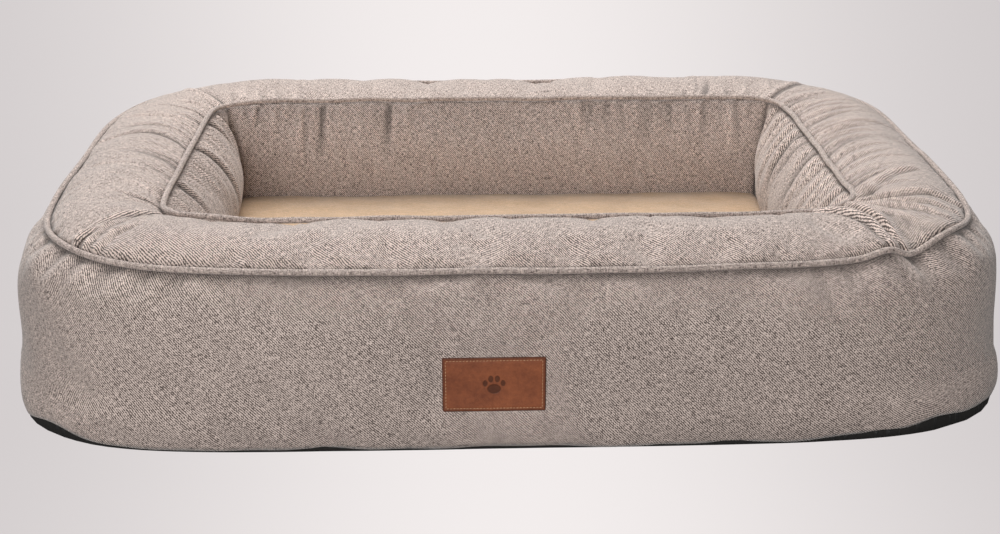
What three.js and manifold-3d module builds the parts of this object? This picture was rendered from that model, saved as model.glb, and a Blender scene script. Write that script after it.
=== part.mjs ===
// Pet cushion bed: a plush mattress lying in a well of four padded bolsters under one zipped cover.
// Units are millimetres. +X is right, -Y is the front, +Z is up.
// The origin is the centre of the underside, on the floor.
//
// Every outline is a rounded rectangle that keeps the same distance to the widest one on all sides,
// so an outline is written as a level: [inset from the widest outline, corner radius, height].
import * as THREE from 'three';
import { mergeVertices } from 'three/addons/utils/BufferGeometryUtils.js';
import Module from 'manifold-3d';

const wasm = await Module();
wasm.setup();

// Driving dimensions
const HALF_LENGTH = 500; // widest outline, along X
const HALF_DEPTH = 360; // widest outline, along Y
const CREST_HEIGHT = 190; // top of the bolsters
const WALL_RADIUS = 150; // corners of the widest outline
const SKIN = 2; // cover cloth with its backing
const PANEL_GAP = 0.5; // between panels that are sewn together at a mitre
const ARC_STEPS = 4; // in half a corner

const PIPING_RADIUS = 3.3;
const OUTER_PIPING = [32, 190, 171]; // level of its centre line
const INNER_PIPING = [147, 62, 177];

const BASE_CLOTH = 2; // thickness of the anti-slip base
const BASE_RIM_HEIGHT = 6; // where its turned-up edge ends

const MATTRESS_INSET = 167; // 666 x 386 overall
const MATTRESS_RADIUS = 45;
const MATTRESS_TOP = 58;
const MATTRESS_FLOOR = 2.6;
const MATTRESS_CLOTH = 1.5;
const FOAM_INSET = MATTRESS_INSET + 7;
const FOAM_RADIUS = MATTRESS_RADIUS - 7;
const FOAM_SEAM = 38; // support foam below, memory foam above

const TOUCH_GAP = 0.3; // between pieces that lie on each other

const LABEL = { width: 95, height: 54, radius: 3, thickness: 1.6, x: -22.5, z: 69 };
const STITCH = { inset: 3, width: 0.8, thickness: 0.5 };

const COVER_ZIP = { height: 42, start: -300, end: 300, slider: 290, slot: 7, tape: 13 };
const MATTRESS_ZIP = { height: 26, start: -205, end: 205, slider: 197, slot: 6, tape: 10 };

// Sides are numbered anticlockwise from the right: the way each one faces, in quarter turns.
const RIGHT = 0;
const BACK = 1;
const LEFT = 2;
const FRONT = 3;
const UP = new THREE.Vector3(0, 0, 1);

const bed = new THREE.Group();

function material(color, roughness, metalness = 0) {
  return new THREE.MeshStandardMaterial({ color, roughness, metalness });
}

const coverFabric = material(0xa19088, 0.9);
const plushFabric = material(0xd1b396, 0.95);
const mattressFabric = material(0xbfa58c, 0.9);
const baseFabric = material(0x14110f, 0.85);
const fillFabric = material(0xf0eeea, 0.95);
const supportFoam = material(0xe8dfc4, 0.9);
const memoryFoam = material(0xcfe0ea, 0.9);
const leather = material(0x70432e, 0.55);
const thread = material(0xb98d69, 0.8);
const zipTape = material(0x80746c, 0.9);
const zipCoil = material(0x6b615a, 0.5);
const zipMetal = material(0x8b8783, 0.35, 0.9);

function add(name, geometry, meshMaterial, parent = bed) {
  const mesh = new THREE.Mesh(geometry, meshMaterial);
  mesh.name = name;
  parent.add(mesh);
  return mesh;
}

// ---- Outlines, sweeps and stacks ----

/** One side of a level's outline, from the middle of one corner to the middle of the next. */
function sidePoints([inset, radius, z], side, startGap, endGap) {
  const facesX = side % 2 === 0;
  const reach = (facesX ? HALF_LENGTH : HALF_DEPTH) - inset - radius;
  const straight = (facesX ? HALF_DEPTH : HALF_LENGTH) - inset - radius;
  const points = [];
  for (const end of [-1, 1]) {
    const gap = end < 0 ? startGap : endGap;
    const halfCorner = Math.PI / 4 - gap / 2 / radius;
    for (let step = 0; step <= ARC_STEPS; step++) {
      const share = end < 0 ? step / ARC_STEPS - 1 : step / ARC_STEPS;
      const angle = share * halfCorner;
      const out = reach + radius * Math.cos(angle);
      const along = end * straight + radius * Math.sin(angle);
      points.push(new THREE.Vector3(out, along, z).applyAxisAngle(UP, (side * Math.PI) / 2));
    }
  }
  return points;
}

/** A level's outline along a run of sides; four sides close it. */
function outline(level, firstSide, sideCount) {
  const closed = sideCount === 4;
  const points = [];
  for (let i = 0; i < sideCount; i++) {
    const startGap = !closed && i === 0 ? PANEL_GAP : 0;
    const endGap = !closed && i === sideCount - 1 ? PANEL_GAP : 0;
    const side = sidePoints(level, (firstSide + i) % 4, startGap, endGap);
    if (closed || i > 0) side.shift();
    points.push(...side);
  }
  return points;
}

function indexed(points, faces) {
  const geometry = new THREE.BufferGeometry();
  geometry.setFromPoints(points);
  geometry.setIndex(faces);
  geometry.computeVertexNormals();
  return geometry;
}

/** Quads between neighbouring outlines, which all have the same number of points. */
function bandFaces(outlines, wrapOutlines, wrapPoints) {
  const count = outlines[0].length;
  const faces = [];
  const bands = wrapOutlines ? outlines.length : outlines.length - 1;
  const steps = wrapPoints ? count : count - 1;
  for (let band = 0; band < bands; band++) {
    const low = band * count;
    const high = ((band + 1) % outlines.length) * count;
    for (let step = 0; step < steps; step++) {
      const next = (step + 1) % count;
      faces.push(low + step, low + next, high + next);
      faces.push(low + step, high + next, high + step);
    }
  }
  return faces;
}

/** Triangles of a flat polygon, turned anticlockwise. */
function polygonFaces(flatPoints) {
  return THREE.ShapeUtils.triangulateShape(flatPoints, []).map((face) => {
    const turn = THREE.ShapeUtils.area(face.map((index) => flatPoints[index]));
    return turn > 0 ? face : face.reverse();
  });
}

/** Sweeps a closed section, a list of levels, along a run of sides and caps its ends. */
function sweep(section, firstSide, sideCount) {
  const flat = section.map(([inset, , z]) => new THREE.Vector2(-inset, z));
  const levels = THREE.ShapeUtils.area(flat) > 0 ? section : [...section].reverse();
  const outlines = levels.map((level) => outline(level, firstSide, sideCount));
  const closed = sideCount === 4;
  const faces = bandFaces(outlines, true, closed);
  if (!closed) {
    const mitre = levels.map(([inset, radius, z]) => {
      return new THREE.Vector2(-inset - radius * (1 - Math.SQRT1_2), z);
    });
    const count = outlines[0].length;
    for (const [a, b, c] of polygonFaces(mitre)) {
      faces.push(a * count, b * count, c * count);
      faces.push(c * count + count - 1, b * count + count - 1, a * count + count - 1);
    }
  }
  return indexed(outlines.flat(), faces);
}

/** Joins full outlines from a flat face that looks down to a flat face that looks up. */
function stack(levels) {
  const outlines = levels.map((level) => outline(level, RIGHT, 4));
  const faces = bandFaces(outlines, false, true);
  const count = outlines[0].length;
  const last = (outlines.length - 1) * count;
  for (const [a, b, c] of polygonFaces(outlines[0].map(({ x, y }) => new THREE.Vector2(x, y)))) {
    faces.push(c, b, a);
    faces.push(last + a, last + b, last + c);
  }
  return indexed(outlines.flat(), faces);
}

/** A section of even thickness behind a line of levels; the sign of depth picks the side. */
function skinSection(line, depth) {
  const behind = line.map(([inset, radius, z], i) => {
    const before = line[Math.max(i - 1, 0)];
    const after = line[Math.min(i + 1, line.length - 1)];
    const run = after[0] - before[0];
    const rise = after[2] - before[2];
    const length = Math.hypot(run, rise);
    const inwards = (depth * rise) / length;
    return [inset + inwards, radius - inwards, z - (depth * run) / length];
  });
  return [...line, ...behind.reverse()];
}

// ---- Booleans ----

function toSolid(geometry) {
  const bare = geometry.clone();
  bare.deleteAttribute('normal');
  bare.deleteAttribute('uv');
  const merged = mergeVertices(bare);
  return new wasm.Manifold(
    new wasm.Mesh({
      numProp: 3,
      vertProperties: new Float32Array(merged.attributes.position.array),
      triVerts: new Uint32Array(merged.index.array),
    }),
  );
}

function toGeometry(solid) {
  const mesh = solid.getMesh();
  const geometry = new THREE.BufferGeometry();
  geometry.setAttribute('position', new THREE.BufferAttribute(mesh.vertProperties, 3));
  geometry.setIndex(new THREE.BufferAttribute(mesh.triVerts, 1));
  geometry.computeVertexNormals();
  return geometry;
}

function cut(geometry, tool) {
  return toGeometry(toSolid(geometry).subtract(toSolid(tool)));
}

function join(first, ...others) {
  const joined = others.reduce((sum, other) => sum.add(toSolid(other)), toSolid(first));
  return toGeometry(joined);
}

/** A box from its lowest to its highest corner. */
function block(x0, x1, y0, y1, z0, z1) {
  const box = new THREE.BoxGeometry(x1 - x0, y1 - y0, z1 - z0);
  return box.translate((x0 + x1) / 2, (y0 + y1) / 2, (z0 + z1) / 2);
}

/** The opening in a cloth that faces back, which a zip closes. */
function zipSlot(zip, face) {
  const margin = 4;
  const low = zip.height - zip.slot;
  const high = zip.height + zip.slot;
  return block(zip.start - margin, zip.end + margin, face - 10, face + 10, low, high);
}

// ---- Cover: walls, top panels, piping and base ----

const wallLine = [
  [5, 145, 4],
  [0, WALL_RADIUS, 28],
  [0, WALL_RADIUS, 112],
  [3, 153, 130],
  [10, 160, 145],
  [28.5, 183, 167],
];

const topLine = [
  [36.5, 188, 174.8],
  [50, 180, 181.5],
  [68, 165, 187],
  [90, 143, CREST_HEIGHT],
  [112, 115, 189.3],
  [130, 86, 185.5],
  [142.5, 68, 180.2],
];

const wellLine = [
  [149.5, 60, 172.2],
  [154, 58, 160],
  [159, 55, 138],
  [160, 54, 110],
  [158, 54, 70],
  [156, 55, 30],
  [155, 55, 4],
];

const SIDES = [
  ['front', FRONT],
  ['right', RIGHT],
  ['back', BACK],
  ['left', LEFT],
];

function buildCover() {
  const wallSection = skinSection(wallLine, SKIN);
  add('outer_wall', sweep(wallSection, LEFT, 3), coverFabric);
  const backWall = cut(sweep(wallSection, BACK, 1), zipSlot(COVER_ZIP, HALF_DEPTH));
  add('outer_wall_back', backWall, coverFabric);
  for (const [name, side] of SIDES) {
    add(`top_panel_${name}`, sweep(skinSection(topLine, SKIN), side, 1), coverFabric);
    add(`inner_wall_${name}`, sweep(skinSection(wellLine, SKIN), side, 1), coverFabric);
  }
  add('outer_piping', pipingRing(OUTER_PIPING), coverFabric);
  add('inner_piping', pipingRing(INNER_PIPING), coverFabric);
}

function pipingRing([inset, radius, z]) {
  const sectionSides = 8;
  const section = [];
  for (let i = 0; i < sectionSides; i++) {
    const angle = ((i + 0.5) * 2 * Math.PI) / sectionSides;
    const inwards = PIPING_RADIUS * Math.cos(angle);
    section.push([inset + inwards, radius - inwards, z + PIPING_RADIUS * Math.sin(angle)]);
  }
  return sweep(section, RIGHT, 4);
}

/** Anti-slip cloth: flat on the floor, with its edge turned up inside the hem of the walls. */
function buildBase() {
  const rim = [
    [18, 132, 0],
    [10, 140, 2.5],
    [8, 142, BASE_RIM_HEIGHT],
    [8 + BASE_CLOTH, 140, BASE_RIM_HEIGHT],
    [12, 138, 4],
    [19, 131, BASE_CLOTH],
  ];
  add('base_panel', stack(rim), baseFabric);
}

// ---- Bolster fill: four stuffed bars that meet at the corner mitres ----

function fillSection(outerInset) {
  const innerRadius = 5; // nearly square inner corners keep each bar almost convex
  return [
    [14, 136, 9],
    [outerInset, WALL_RADIUS - outerInset, 30],
    [outerInset, WALL_RADIUS - outerInset, 112],
    [Math.max(outerInset, 6), WALL_RADIUS, 130],
    [14.5, 158, 144.5],
    [31, 181, 163.5],
    [40, 182, 171.5],
    [52, 177, 178.5],
    [70, 162, 184],
    [90, 143, CREST_HEIGHT - 3],
    [112, 115, CREST_HEIGHT - 3.7],
    [129, 87, 182.4],
    [139, 73, 178],
    [147, innerRadius, 169],
    [151.5, innerRadius, 158],
    [156, innerRadius, 137],
    [157, innerRadius, 110],
    [155, innerRadius, 70],
    [153, innerRadius, 30],
    [152, innerRadius, 9],
  ];
}

function buildFill() {
  const besideCloth = SKIN + 1;
  const behindZip = SKIN + 4.5;
  for (const [name, side] of SIDES) {
    const outerInset = side === BACK ? behindZip : besideCloth;
    add(`bolster_fill_${name}`, sweep(fillSection(outerInset), side, 1), fillFabric);
  }
}

// ---- Leather label on the front wall ----

function roundedRectangle(width, height, radius) {
  const x = width / 2;
  const y = height / 2;
  const shape = new THREE.Shape();
  shape.moveTo(x, y - radius);
  shape.absarc(x - radius, y - radius, radius, 0, Math.PI / 2);
  shape.absarc(radius - x, y - radius, radius, Math.PI / 2, Math.PI);
  shape.absarc(radius - x, radius - y, radius, Math.PI, 1.5 * Math.PI);
  shape.absarc(x - radius, radius - y, radius, 1.5 * Math.PI, 2 * Math.PI);
  return shape;
}

function extrude(shape, depth) {
  return new THREE.ExtrudeGeometry(shape, { depth, bevelEnabled: false, curveSegments: 3 });
}

function buildLabel() {
  const group = new THREE.Group();
  group.position.set(LABEL.x, -HALF_DEPTH, LABEL.z);
  group.rotation.x = Math.PI / 2; // shapes are drawn upright and stand out of the front wall
  bed.add(group);

  const patch = extrude(roundedRectangle(LABEL.width, LABEL.height, LABEL.radius), LABEL.thickness);
  add('label_patch', patch, leather, group).position.z = TOUCH_GAP;

  const row = roundedRectangle(
    LABEL.width - 2 * STITCH.inset,
    LABEL.height - 2 * STITCH.inset,
    LABEL.radius - STITCH.width,
  );
  const inside = 2 * (STITCH.inset + STITCH.width);
  row.holes.push(roundedRectangle(LABEL.width - inside, LABEL.height - inside, 1));
  const stitching = add('label_stitching', extrude(row, STITCH.thickness), thread, group);
  stitching.position.z = 2 * TOUCH_GAP + LABEL.thickness;
}

// ---- Mattress: plush lid, side band, bottom cloth and two foam layers ----

function mattressLevel(inwards, z) {
  return [MATTRESS_INSET + inwards, MATTRESS_RADIUS - inwards, z];
}

function buildMattress() {
  const bandLow = MATTRESS_FLOOR + MATTRESS_CLOTH + TOUCH_GAP;
  const bandHigh = MATTRESS_TOP - 11;
  const lidEdge = bandHigh + TOUCH_GAP;
  const lid = [
    mattressLevel(16, MATTRESS_TOP - 2.8),
    mattressLevel(8, MATTRESS_TOP - 4),
    mattressLevel(4, MATTRESS_TOP - 7),
    mattressLevel(2.5, lidEdge),
    mattressLevel(0, lidEdge),
    mattressLevel(1, MATTRESS_TOP - 6),
    mattressLevel(5, MATTRESS_TOP - 2),
    mattressLevel(14, MATTRESS_TOP),
  ];
  add('mattress_top', stack(lid), plushFabric);

  const bandSection = skinSection([mattressLevel(0, bandLow), mattressLevel(0, bandHigh)], MATTRESS_CLOTH);
  const band = cut(sweep(bandSection, RIGHT, 4), zipSlot(MATTRESS_ZIP, HALF_DEPTH - MATTRESS_INSET));
  add('mattress_band', band, mattressFabric);

  const bottom = [mattressLevel(3, MATTRESS_FLOOR), mattressLevel(1, MATTRESS_FLOOR + MATTRESS_CLOTH)];
  add('mattress_bottom', stack(bottom), mattressFabric);

  const support = [
    [FOAM_INSET, FOAM_RADIUS, MATTRESS_FLOOR + MATTRESS_CLOTH + 1],
    [FOAM_INSET, FOAM_RADIUS, FOAM_SEAM],
  ];
  add('mattress_foam_base', stack(support), supportFoam);

  const comfort = [
    [FOAM_INSET, FOAM_RADIUS, FOAM_SEAM + TOUCH_GAP],
    [FOAM_INSET, FOAM_RADIUS, MATTRESS_TOP - 10],
    [FOAM_INSET + 3, FOAM_RADIUS - 3, MATTRESS_TOP - 6.5],
    [FOAM_INSET + 11, FOAM_RADIUS - 11, MATTRESS_TOP - 4.4],
  ];
  add('mattress_memory_foam', stack(comfort), memoryFoam);
}

// ---- Zips ----
// A zip's group sits on the outer face of its cloth: X along the chain, Y out of the cloth, Z up.
// Its two rows leave a narrow middle free, in which the slider's divider runs.

const TAPE = { back: -3.2, front: -2.5, middle: 0.75 };
const TEETH = { back: -2.2, front: -0.6, middle: 0.6, reach: 2.6 };
const SLIDER = { length: 10, half: 4.2, face: 0.9, wall: 1.1, back: -4.9, divider: 0.25 };
const BRIDGE = { half: 3.6, opening: 2.2, top: 3.9, width: 0.9 };
const PULL = { axisOut: 1.9, bar: 0.45, reach: 24, half: 3.2, leg: 1 };

function sliderGeometry() {
  const half = SLIDER.length / 2;
  const edge = SLIDER.half - SLIDER.wall;
  const front = block(-half, half, -0.2, SLIDER.face, -SLIDER.half, SLIDER.half);
  const back = block(-half, half, SLIDER.back, SLIDER.back + 1.2, -SLIDER.half, SLIDER.half);
  const divider = block(-2, 2, SLIDER.back, 0, -SLIDER.divider, SLIDER.divider);
  const upper = block(-half, half, -2, 0, edge, SLIDER.half);
  const lower = block(-half, half, -2, 0, -SLIDER.half, -edge);
  const body = join(front, back, divider, upper, lower);
  const arch = block(-BRIDGE.half, BRIDGE.half, 0.5, BRIDGE.top, -BRIDGE.width, BRIDGE.width);
  const eye = block(-BRIDGE.opening, BRIDGE.opening, SLIDER.face, BRIDGE.top - 1, -2, 2);
  return join(body, cut(arch, eye));
}

function pullGeometry() {
  const low = PULL.axisOut - PULL.bar;
  const high = PULL.axisOut + PULL.bar;
  const root = -5;
  const bar = block(-PULL.bar, PULL.bar, low, high, -PULL.half, PULL.half);
  const plate = block(-PULL.reach, root, low, high, -PULL.half, PULL.half);
  const upper = block(root - 1, PULL.bar, low, high, PULL.half - PULL.leg, PULL.half);
  const lower = block(root - 1, PULL.bar, low, high, -PULL.half, PULL.leg - PULL.half);
  return join(bar, plate, upper, lower);
}

function buildZip(prefix, zip, face, hasPull) {
  const group = new THREE.Group();
  group.position.set(0, face, zip.height);
  bed.add(group);

  for (const [name, up] of [['upper', 1], ['lower', -1]]) {
    const row = (part, near, far) => {
      const low = Math.min(up * near, up * far);
      const high = Math.max(up * near, up * far);
      return block(zip.start, zip.end, part.back, part.front, low, high);
    };
    add(`${prefix}_tape_${name}`, row(TAPE, TAPE.middle, zip.tape), zipTape, group);
    add(`${prefix}_teeth_${name}`, row(TEETH, TEETH.middle, TEETH.reach), zipCoil, group);
  }

  const stop = block(-1.3, 1.3, TEETH.back, -0.3, -TEETH.reach, TEETH.reach);
  add(`${prefix}_top_stop`, stop, zipMetal, group).position.x = zip.end + 1.6;
  add(`${prefix}_bottom_stop`, stop.clone(), zipMetal, group).position.x = zip.start - 1.6;
  add(`${prefix}_slider`, sliderGeometry(), zipMetal, group).position.x = zip.slider;
  if (hasPull) add(`${prefix}_pull`, pullGeometry(), zipMetal, group).position.x = zip.slider;
}

buildCover();
buildBase();
buildFill();
buildLabel();
buildMattress();
buildZip('cover_zip', COVER_ZIP, HALF_DEPTH, true);
buildZip('mattress_zip', MATTRESS_ZIP, HALF_DEPTH - MATTRESS_INSET, false);

export default bed;
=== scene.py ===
"""Pet cushion bed: a plush mattress in a well of piped, stuffed bolsters.

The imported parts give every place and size. The cover is one fabric grid that runs up the outer walls, over
the bolsters and down into the well. It is puffed up by a cloth simulation and then cut into its panels.
Lengths are in metres. +X is right, -Y is the front, +Z is up.
"""

import math

import bmesh
import bpy
import numpy as np
from bpy.props import FloatProperty, FloatVectorProperty, PointerProperty
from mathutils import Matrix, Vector
from mathutils.bvhtree import BVHTree


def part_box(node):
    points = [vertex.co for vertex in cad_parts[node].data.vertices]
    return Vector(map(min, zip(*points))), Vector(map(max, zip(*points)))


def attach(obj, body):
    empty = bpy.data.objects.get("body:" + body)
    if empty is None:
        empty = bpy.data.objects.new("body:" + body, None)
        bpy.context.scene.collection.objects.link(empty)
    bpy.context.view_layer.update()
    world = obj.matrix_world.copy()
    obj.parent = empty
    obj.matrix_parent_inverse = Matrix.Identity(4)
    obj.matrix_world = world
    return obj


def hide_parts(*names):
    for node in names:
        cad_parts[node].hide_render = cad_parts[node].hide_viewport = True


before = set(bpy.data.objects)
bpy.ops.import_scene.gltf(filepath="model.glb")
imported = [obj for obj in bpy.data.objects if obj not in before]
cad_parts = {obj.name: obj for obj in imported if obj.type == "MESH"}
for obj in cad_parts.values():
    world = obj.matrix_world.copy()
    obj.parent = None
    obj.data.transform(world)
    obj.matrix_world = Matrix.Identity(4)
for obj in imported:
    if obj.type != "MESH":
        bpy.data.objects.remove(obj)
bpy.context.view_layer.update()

bl_info = {
    "name": "Pet Cushion Bed",
    "version": (1, 0, 0),
    "blender": (4, 5, 0),
    "location": "View3D > Sidebar > Pet Bed",
    "description": "Builds the looks of a pet cushion bed around its packed parts",
    "category": "Object",
}

# Sides are numbered anticlockwise from the right: the way each one faces, in quarter turns.
RIGHT, BACK, LEFT, FRONT = range(4)
SIDE_NAMES = {RIGHT: "right", BACK: "back", LEFT: "left", FRONT: "front"}

HALF_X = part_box("outer_wall")[1].x
HALF_Y = -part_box("outer_wall")[0].y
PIPING_RADIUS = (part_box("outer_piping")[1].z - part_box("outer_piping")[0].z) / 2
OUTER_SEAM_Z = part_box("outer_piping")[0].z + PIPING_RADIUS
INNER_SEAM_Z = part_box("inner_piping")[0].z + PIPING_RADIUS
OUTER_SEAM = HALF_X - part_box("outer_piping")[1].x + PIPING_RADIUS
INNER_SEAM = HALF_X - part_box("inner_piping")[1].x + PIPING_RADIUS
CREST_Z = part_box("top_panel_front")[1].z
MATTRESS_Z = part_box("mattress_top")[1].z

LABEL_LOW, LABEL_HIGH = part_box("label_patch")
LABEL_X = (LABEL_LOW.x + LABEL_HIGH.x) / 2
LABEL_Z = (LABEL_LOW.z + LABEL_HIGH.z) / 2
LABEL_WIDTH = LABEL_HIGH.x - LABEL_LOW.x
LABEL_HEIGHT = LABEL_HIGH.z - LABEL_LOW.z

CLOTH = 0.0012  # thickness of the cover cloth


# ----------------------------------------
# Shader nodes
# ----------------------------------------


class Value:
    """A number socket that Python's operators can work with."""

    def __init__(self, shader, socket):
        self.shader = shader
        self.socket = socket

    def math(self, operation, *others, swap=False):
        terms = [self, *others]
        if swap:
            terms.reverse()
        node = self.shader.node("ShaderNodeMath", {"operation": operation}, dict(enumerate(terms)))
        return Value(self.shader, node.outputs[0])

    def __add__(self, other):
        return self.math("ADD", other)

    __radd__ = __add__

    def __sub__(self, other):
        return self.math("SUBTRACT", other)

    def __rsub__(self, other):
        return self.math("SUBTRACT", other, swap=True)

    def __mul__(self, other):
        return self.math("MULTIPLY", other)

    __rmul__ = __mul__

    def __truediv__(self, other):
        return self.math("DIVIDE", other)

    def sine(self):
        return self.math("SINE")

    def ramp(self, low, high, out_low=0.0, out_high=1.0):
        """Maps low..high to out_low..out_high and stops there."""
        settings = {"clamp": True}
        inputs = {"Value": self, "From Min": low, "From Max": high, "To Min": out_low, "To Max": out_high}
        node = self.shader.node("ShaderNodeMapRange", settings, inputs)
        return Value(self.shader, node.outputs["Result"])


class Shader:
    """A material and the nodes that it is made of."""

    def __init__(self, name):
        self.material = bpy.data.materials.new(name)
        self.material.use_nodes = True
        self.tree = self.material.node_tree
        self.tree.nodes.clear()

    def node(self, kind, settings, inputs):
        node = self.tree.nodes.new(kind)
        for name, value in settings.items():
            setattr(node, name, value)
        for name, value in inputs.items():
            socket = value.socket if isinstance(value, Value) else value
            if isinstance(socket, bpy.types.NodeSocket):
                self.tree.links.new(socket, node.inputs[name])
            else:
                node.inputs[name].default_value = socket
        return node

    def coordinates(self, uv=True):
        kind = "UV" if uv else "Object"
        return self.node("ShaderNodeTexCoord", {}, {}).outputs[kind]

    def scaled(self, vector, scale, turn=0.0, move=(0, 0, 0)):
        inputs = {"Vector": vector, "Scale": scale, "Rotation": (0, 0, turn), "Location": move}
        return self.node("ShaderNodeMapping", {}, inputs).outputs[0]

    def parts(self, vector):
        node = self.node("ShaderNodeSeparateXYZ", {}, {"Vector": vector})
        return [Value(self, socket) for socket in node.outputs]

    def noise(self, vector, scale=1.0, detail=2.0, roughness=0.5):
        """Noise of one scale, or of a scale for each axis."""
        if isinstance(scale, tuple):
            vector, scale = self.scaled(vector, scale), 1.0
        inputs = {"Vector": vector, "Scale": scale, "Detail": detail, "Roughness": roughness}
        return Value(self, self.node("ShaderNodeTexNoise", {}, inputs).outputs[0])

    def cells(self, vector, scale=1.0):
        inputs = {"Vector": vector, "Scale": scale}
        return Value(self, self.node("ShaderNodeTexVoronoi", {}, inputs).outputs[0])

    def mix(self, factor, first, second):
        settings = {"data_type": "RGBA"}
        node = self.node("ShaderNodeMix", settings, {0: factor, 6: rgba(first), 7: rgba(second)})
        return node.outputs[2]

    def bump(self, height, distance, strength=1.0):
        inputs = {"Height": height, "Distance": distance, "Strength": strength}
        return self.node("ShaderNodeBump", {}, inputs).outputs[0]

    def finish(self, color, roughness, normal=None, **constants):
        inputs = {"Base Color": rgba(color), "Roughness": roughness}
        if normal is not None:
            inputs["Normal"] = normal
        for name, value in constants.items():
            inputs[name.replace("_", " ").title().replace("Ior", "IOR")] = value
        surface = self.node("ShaderNodeBsdfPrincipled", {}, inputs)
        self.node("ShaderNodeOutputMaterial", {}, {"Surface": surface.outputs[0]})
        return self.material


def rgba(color):
    """A colour as four numbers; a socket is passed on."""
    if isinstance(color, (bpy.types.NodeSocket, Value)):
        return color
    return (*color[:3], 1.0)


def twill(name, settings, twist=-1.0, shade=1.0):
    """Heathered twill: fine diagonal ribs of dark and light yarn, flecked where the yarns cross."""
    shader = Shader(name)
    uv = shader.coordinates()
    x, y, _ = shader.parts(shader.scaled(uv, (1000, 1000, 1000)))  # in millimetres
    wander = shader.noise(uv, (120, 120, 120), detail=1.0) * 2.2
    rib = ((y - x * twist + wander) * (2 * math.pi / (settings.rib * 1000))).sine()
    warp = shader.noise(uv, (1000, 210, 500), detail=1.0, roughness=0.6) - 0.5
    weft = shader.noise(shader.scaled(uv, (210, 1000, 500), move=(7, 3, 0)), detail=1.0, roughness=0.6) - 0.5
    fleck = shader.noise(uv, (980, 980, 980), detail=1.0, roughness=0.7) - 0.5
    slub = shader.noise(uv, (95, 34, 30), detail=2.0) - 0.5
    cloud = shader.noise(uv, (8, 8, 8), detail=3.0) - 0.5
    yarn = warp * 1.1 + weft * 1.0 + fleck * 0.8 + rib * 0.26 + slub * 0.18 + cloud * 0.12
    tone = (yarn * settings.contrast).ramp(-0.5, 0.5)
    mid = [(a + b) / 2 * shade for a, b in zip(settings.dark_yarn, settings.light_yarn)]
    dark = [c * shade for c in settings.dark_yarn]
    light = [c * shade for c in settings.light_yarn]
    lower = shader.mix(tone.ramp(0.0, 0.5), dark, mid)
    yarns = shader.mix(tone.ramp(0.5, 1.0), lower, light)
    # Painted shade and highlight: the colour is painted darker along the bottoms of folds, under the piping
    # and along the mitres, and painted paler along the backs of folds.
    painted_fold_shading = Value(shader, shader.node("ShaderNodeAttribute", {"attribute_name": "painted_fold_shading"}, {}).outputs["Fac"])
    depth = painted_fold_shading.ramp(-1.0, -0.08, 0.34, 1.0) * painted_fold_shading.ramp(0.05, 1.0, 1.0, 1.20)
    color = shader.node("ShaderNodeVectorMath", {"operation": "SCALE"}, {0: yarns, "Scale": depth}).outputs[0]
    normal = shader.bump(rib * 0.35 + warp + weft + fleck, 0.0004, 0.35)
    roughness = tone.ramp(0.0, 1.0, 0.95, 0.8)
    return shader.finish(color, roughness, normal, sheen_weight=0.25, sheen_roughness=0.5)


def plush(name, settings):
    """Short pile: soft nap in brushed patches over fine tufts."""
    shader = Shader(name)
    spot = shader.coordinates(uv=False)
    tufts = shader.noise(spot, (620, 620, 620), detail=3.0, roughness=0.7)
    nap = shader.noise(spot, (26, 60, 40), detail=3.0)
    streak = shader.noise(spot, (120, 420, 120), detail=2.0)
    tone = tufts * 0.75 + nap * 0.3 + streak * 0.45
    color = shader.mix(tone.ramp(0.5, 1.0), settings.dark_pile, settings.light_pile)
    normal = shader.bump(tufts + streak * 0.7, 0.0012, 0.5)
    return shader.finish(color, tone.ramp(0.4, 1.0, 1.0, 0.85), normal, sheen_weight=0.5, sheen_roughness=0.4)


def plain_weave(name, light, dark, pitch=0.0009, sheen=0.2):
    """A plain over-and-under weave."""
    shader = Shader(name)
    uv = shader.coordinates()
    x, y, _ = shader.parts(uv)
    turns = 2 * math.pi / pitch
    weave = (x * turns).sine() * (y * turns).sine()
    grain = shader.noise(uv, (500, 500, 500), detail=2.0)
    cloud = shader.noise(uv, (12, 12, 12), detail=2.0)
    tone = weave * 0.14 + grain * 0.7 + cloud * 0.5
    color = shader.mix(tone.ramp(0.3, 0.95), dark, light)
    normal = shader.bump(weave + grain, 0.0003, 0.5)
    return shader.finish(color, tone.ramp(0.2, 1.0, 0.95, 0.8), normal, sheen_weight=sheen)


def leather(name, settings):
    """Vegetable-tanned leather with fine pores, darker along its burnished edges."""
    shader = Shader(name)
    uv = shader.coordinates()
    spot = shader.coordinates(uv=False)
    x, y, _ = shader.parts(uv)
    edge = x.math("MINIMUM", 1 - x).math("MINIMUM", (y.math("MINIMUM", 1 - y)) * 0.57)
    pores = shader.cells(shader.scaled(spot, (1500, 1500, 1500)))
    grain = shader.noise(spot, (260, 260, 260), detail=4.0, roughness=0.6)
    cloud = shader.noise(spot, (38, 38, 55), detail=3.0)
    tone = grain * 0.55 + cloud * 0.7 - pores * 0.12
    body = shader.mix(tone.ramp(0.32, 0.85), settings.dark_hide, settings.light_hide)
    burnt = [c * 0.42 for c in settings.dark_hide]
    color = shader.mix((edge + (grain - 0.5) * 0.012).ramp(0.004, 0.034, 0.85, 0.0), body, burnt)
    paw = paw_print(x * LABEL_WIDTH - LABEL_WIDTH / 2, y * LABEL_HEIGHT - LABEL_HEIGHT / 2)
    color = shader.mix(paw * 0.72, color, [c * 0.30 for c in settings.dark_hide])
    normal = shader.bump(grain * 0.6 - pores - paw * 3.0, 0.0003, 0.6)
    return shader.finish(color, tone.ramp(0.3, 0.9, 0.62, 0.42), normal, specular_ior_level=0.35)


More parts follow.
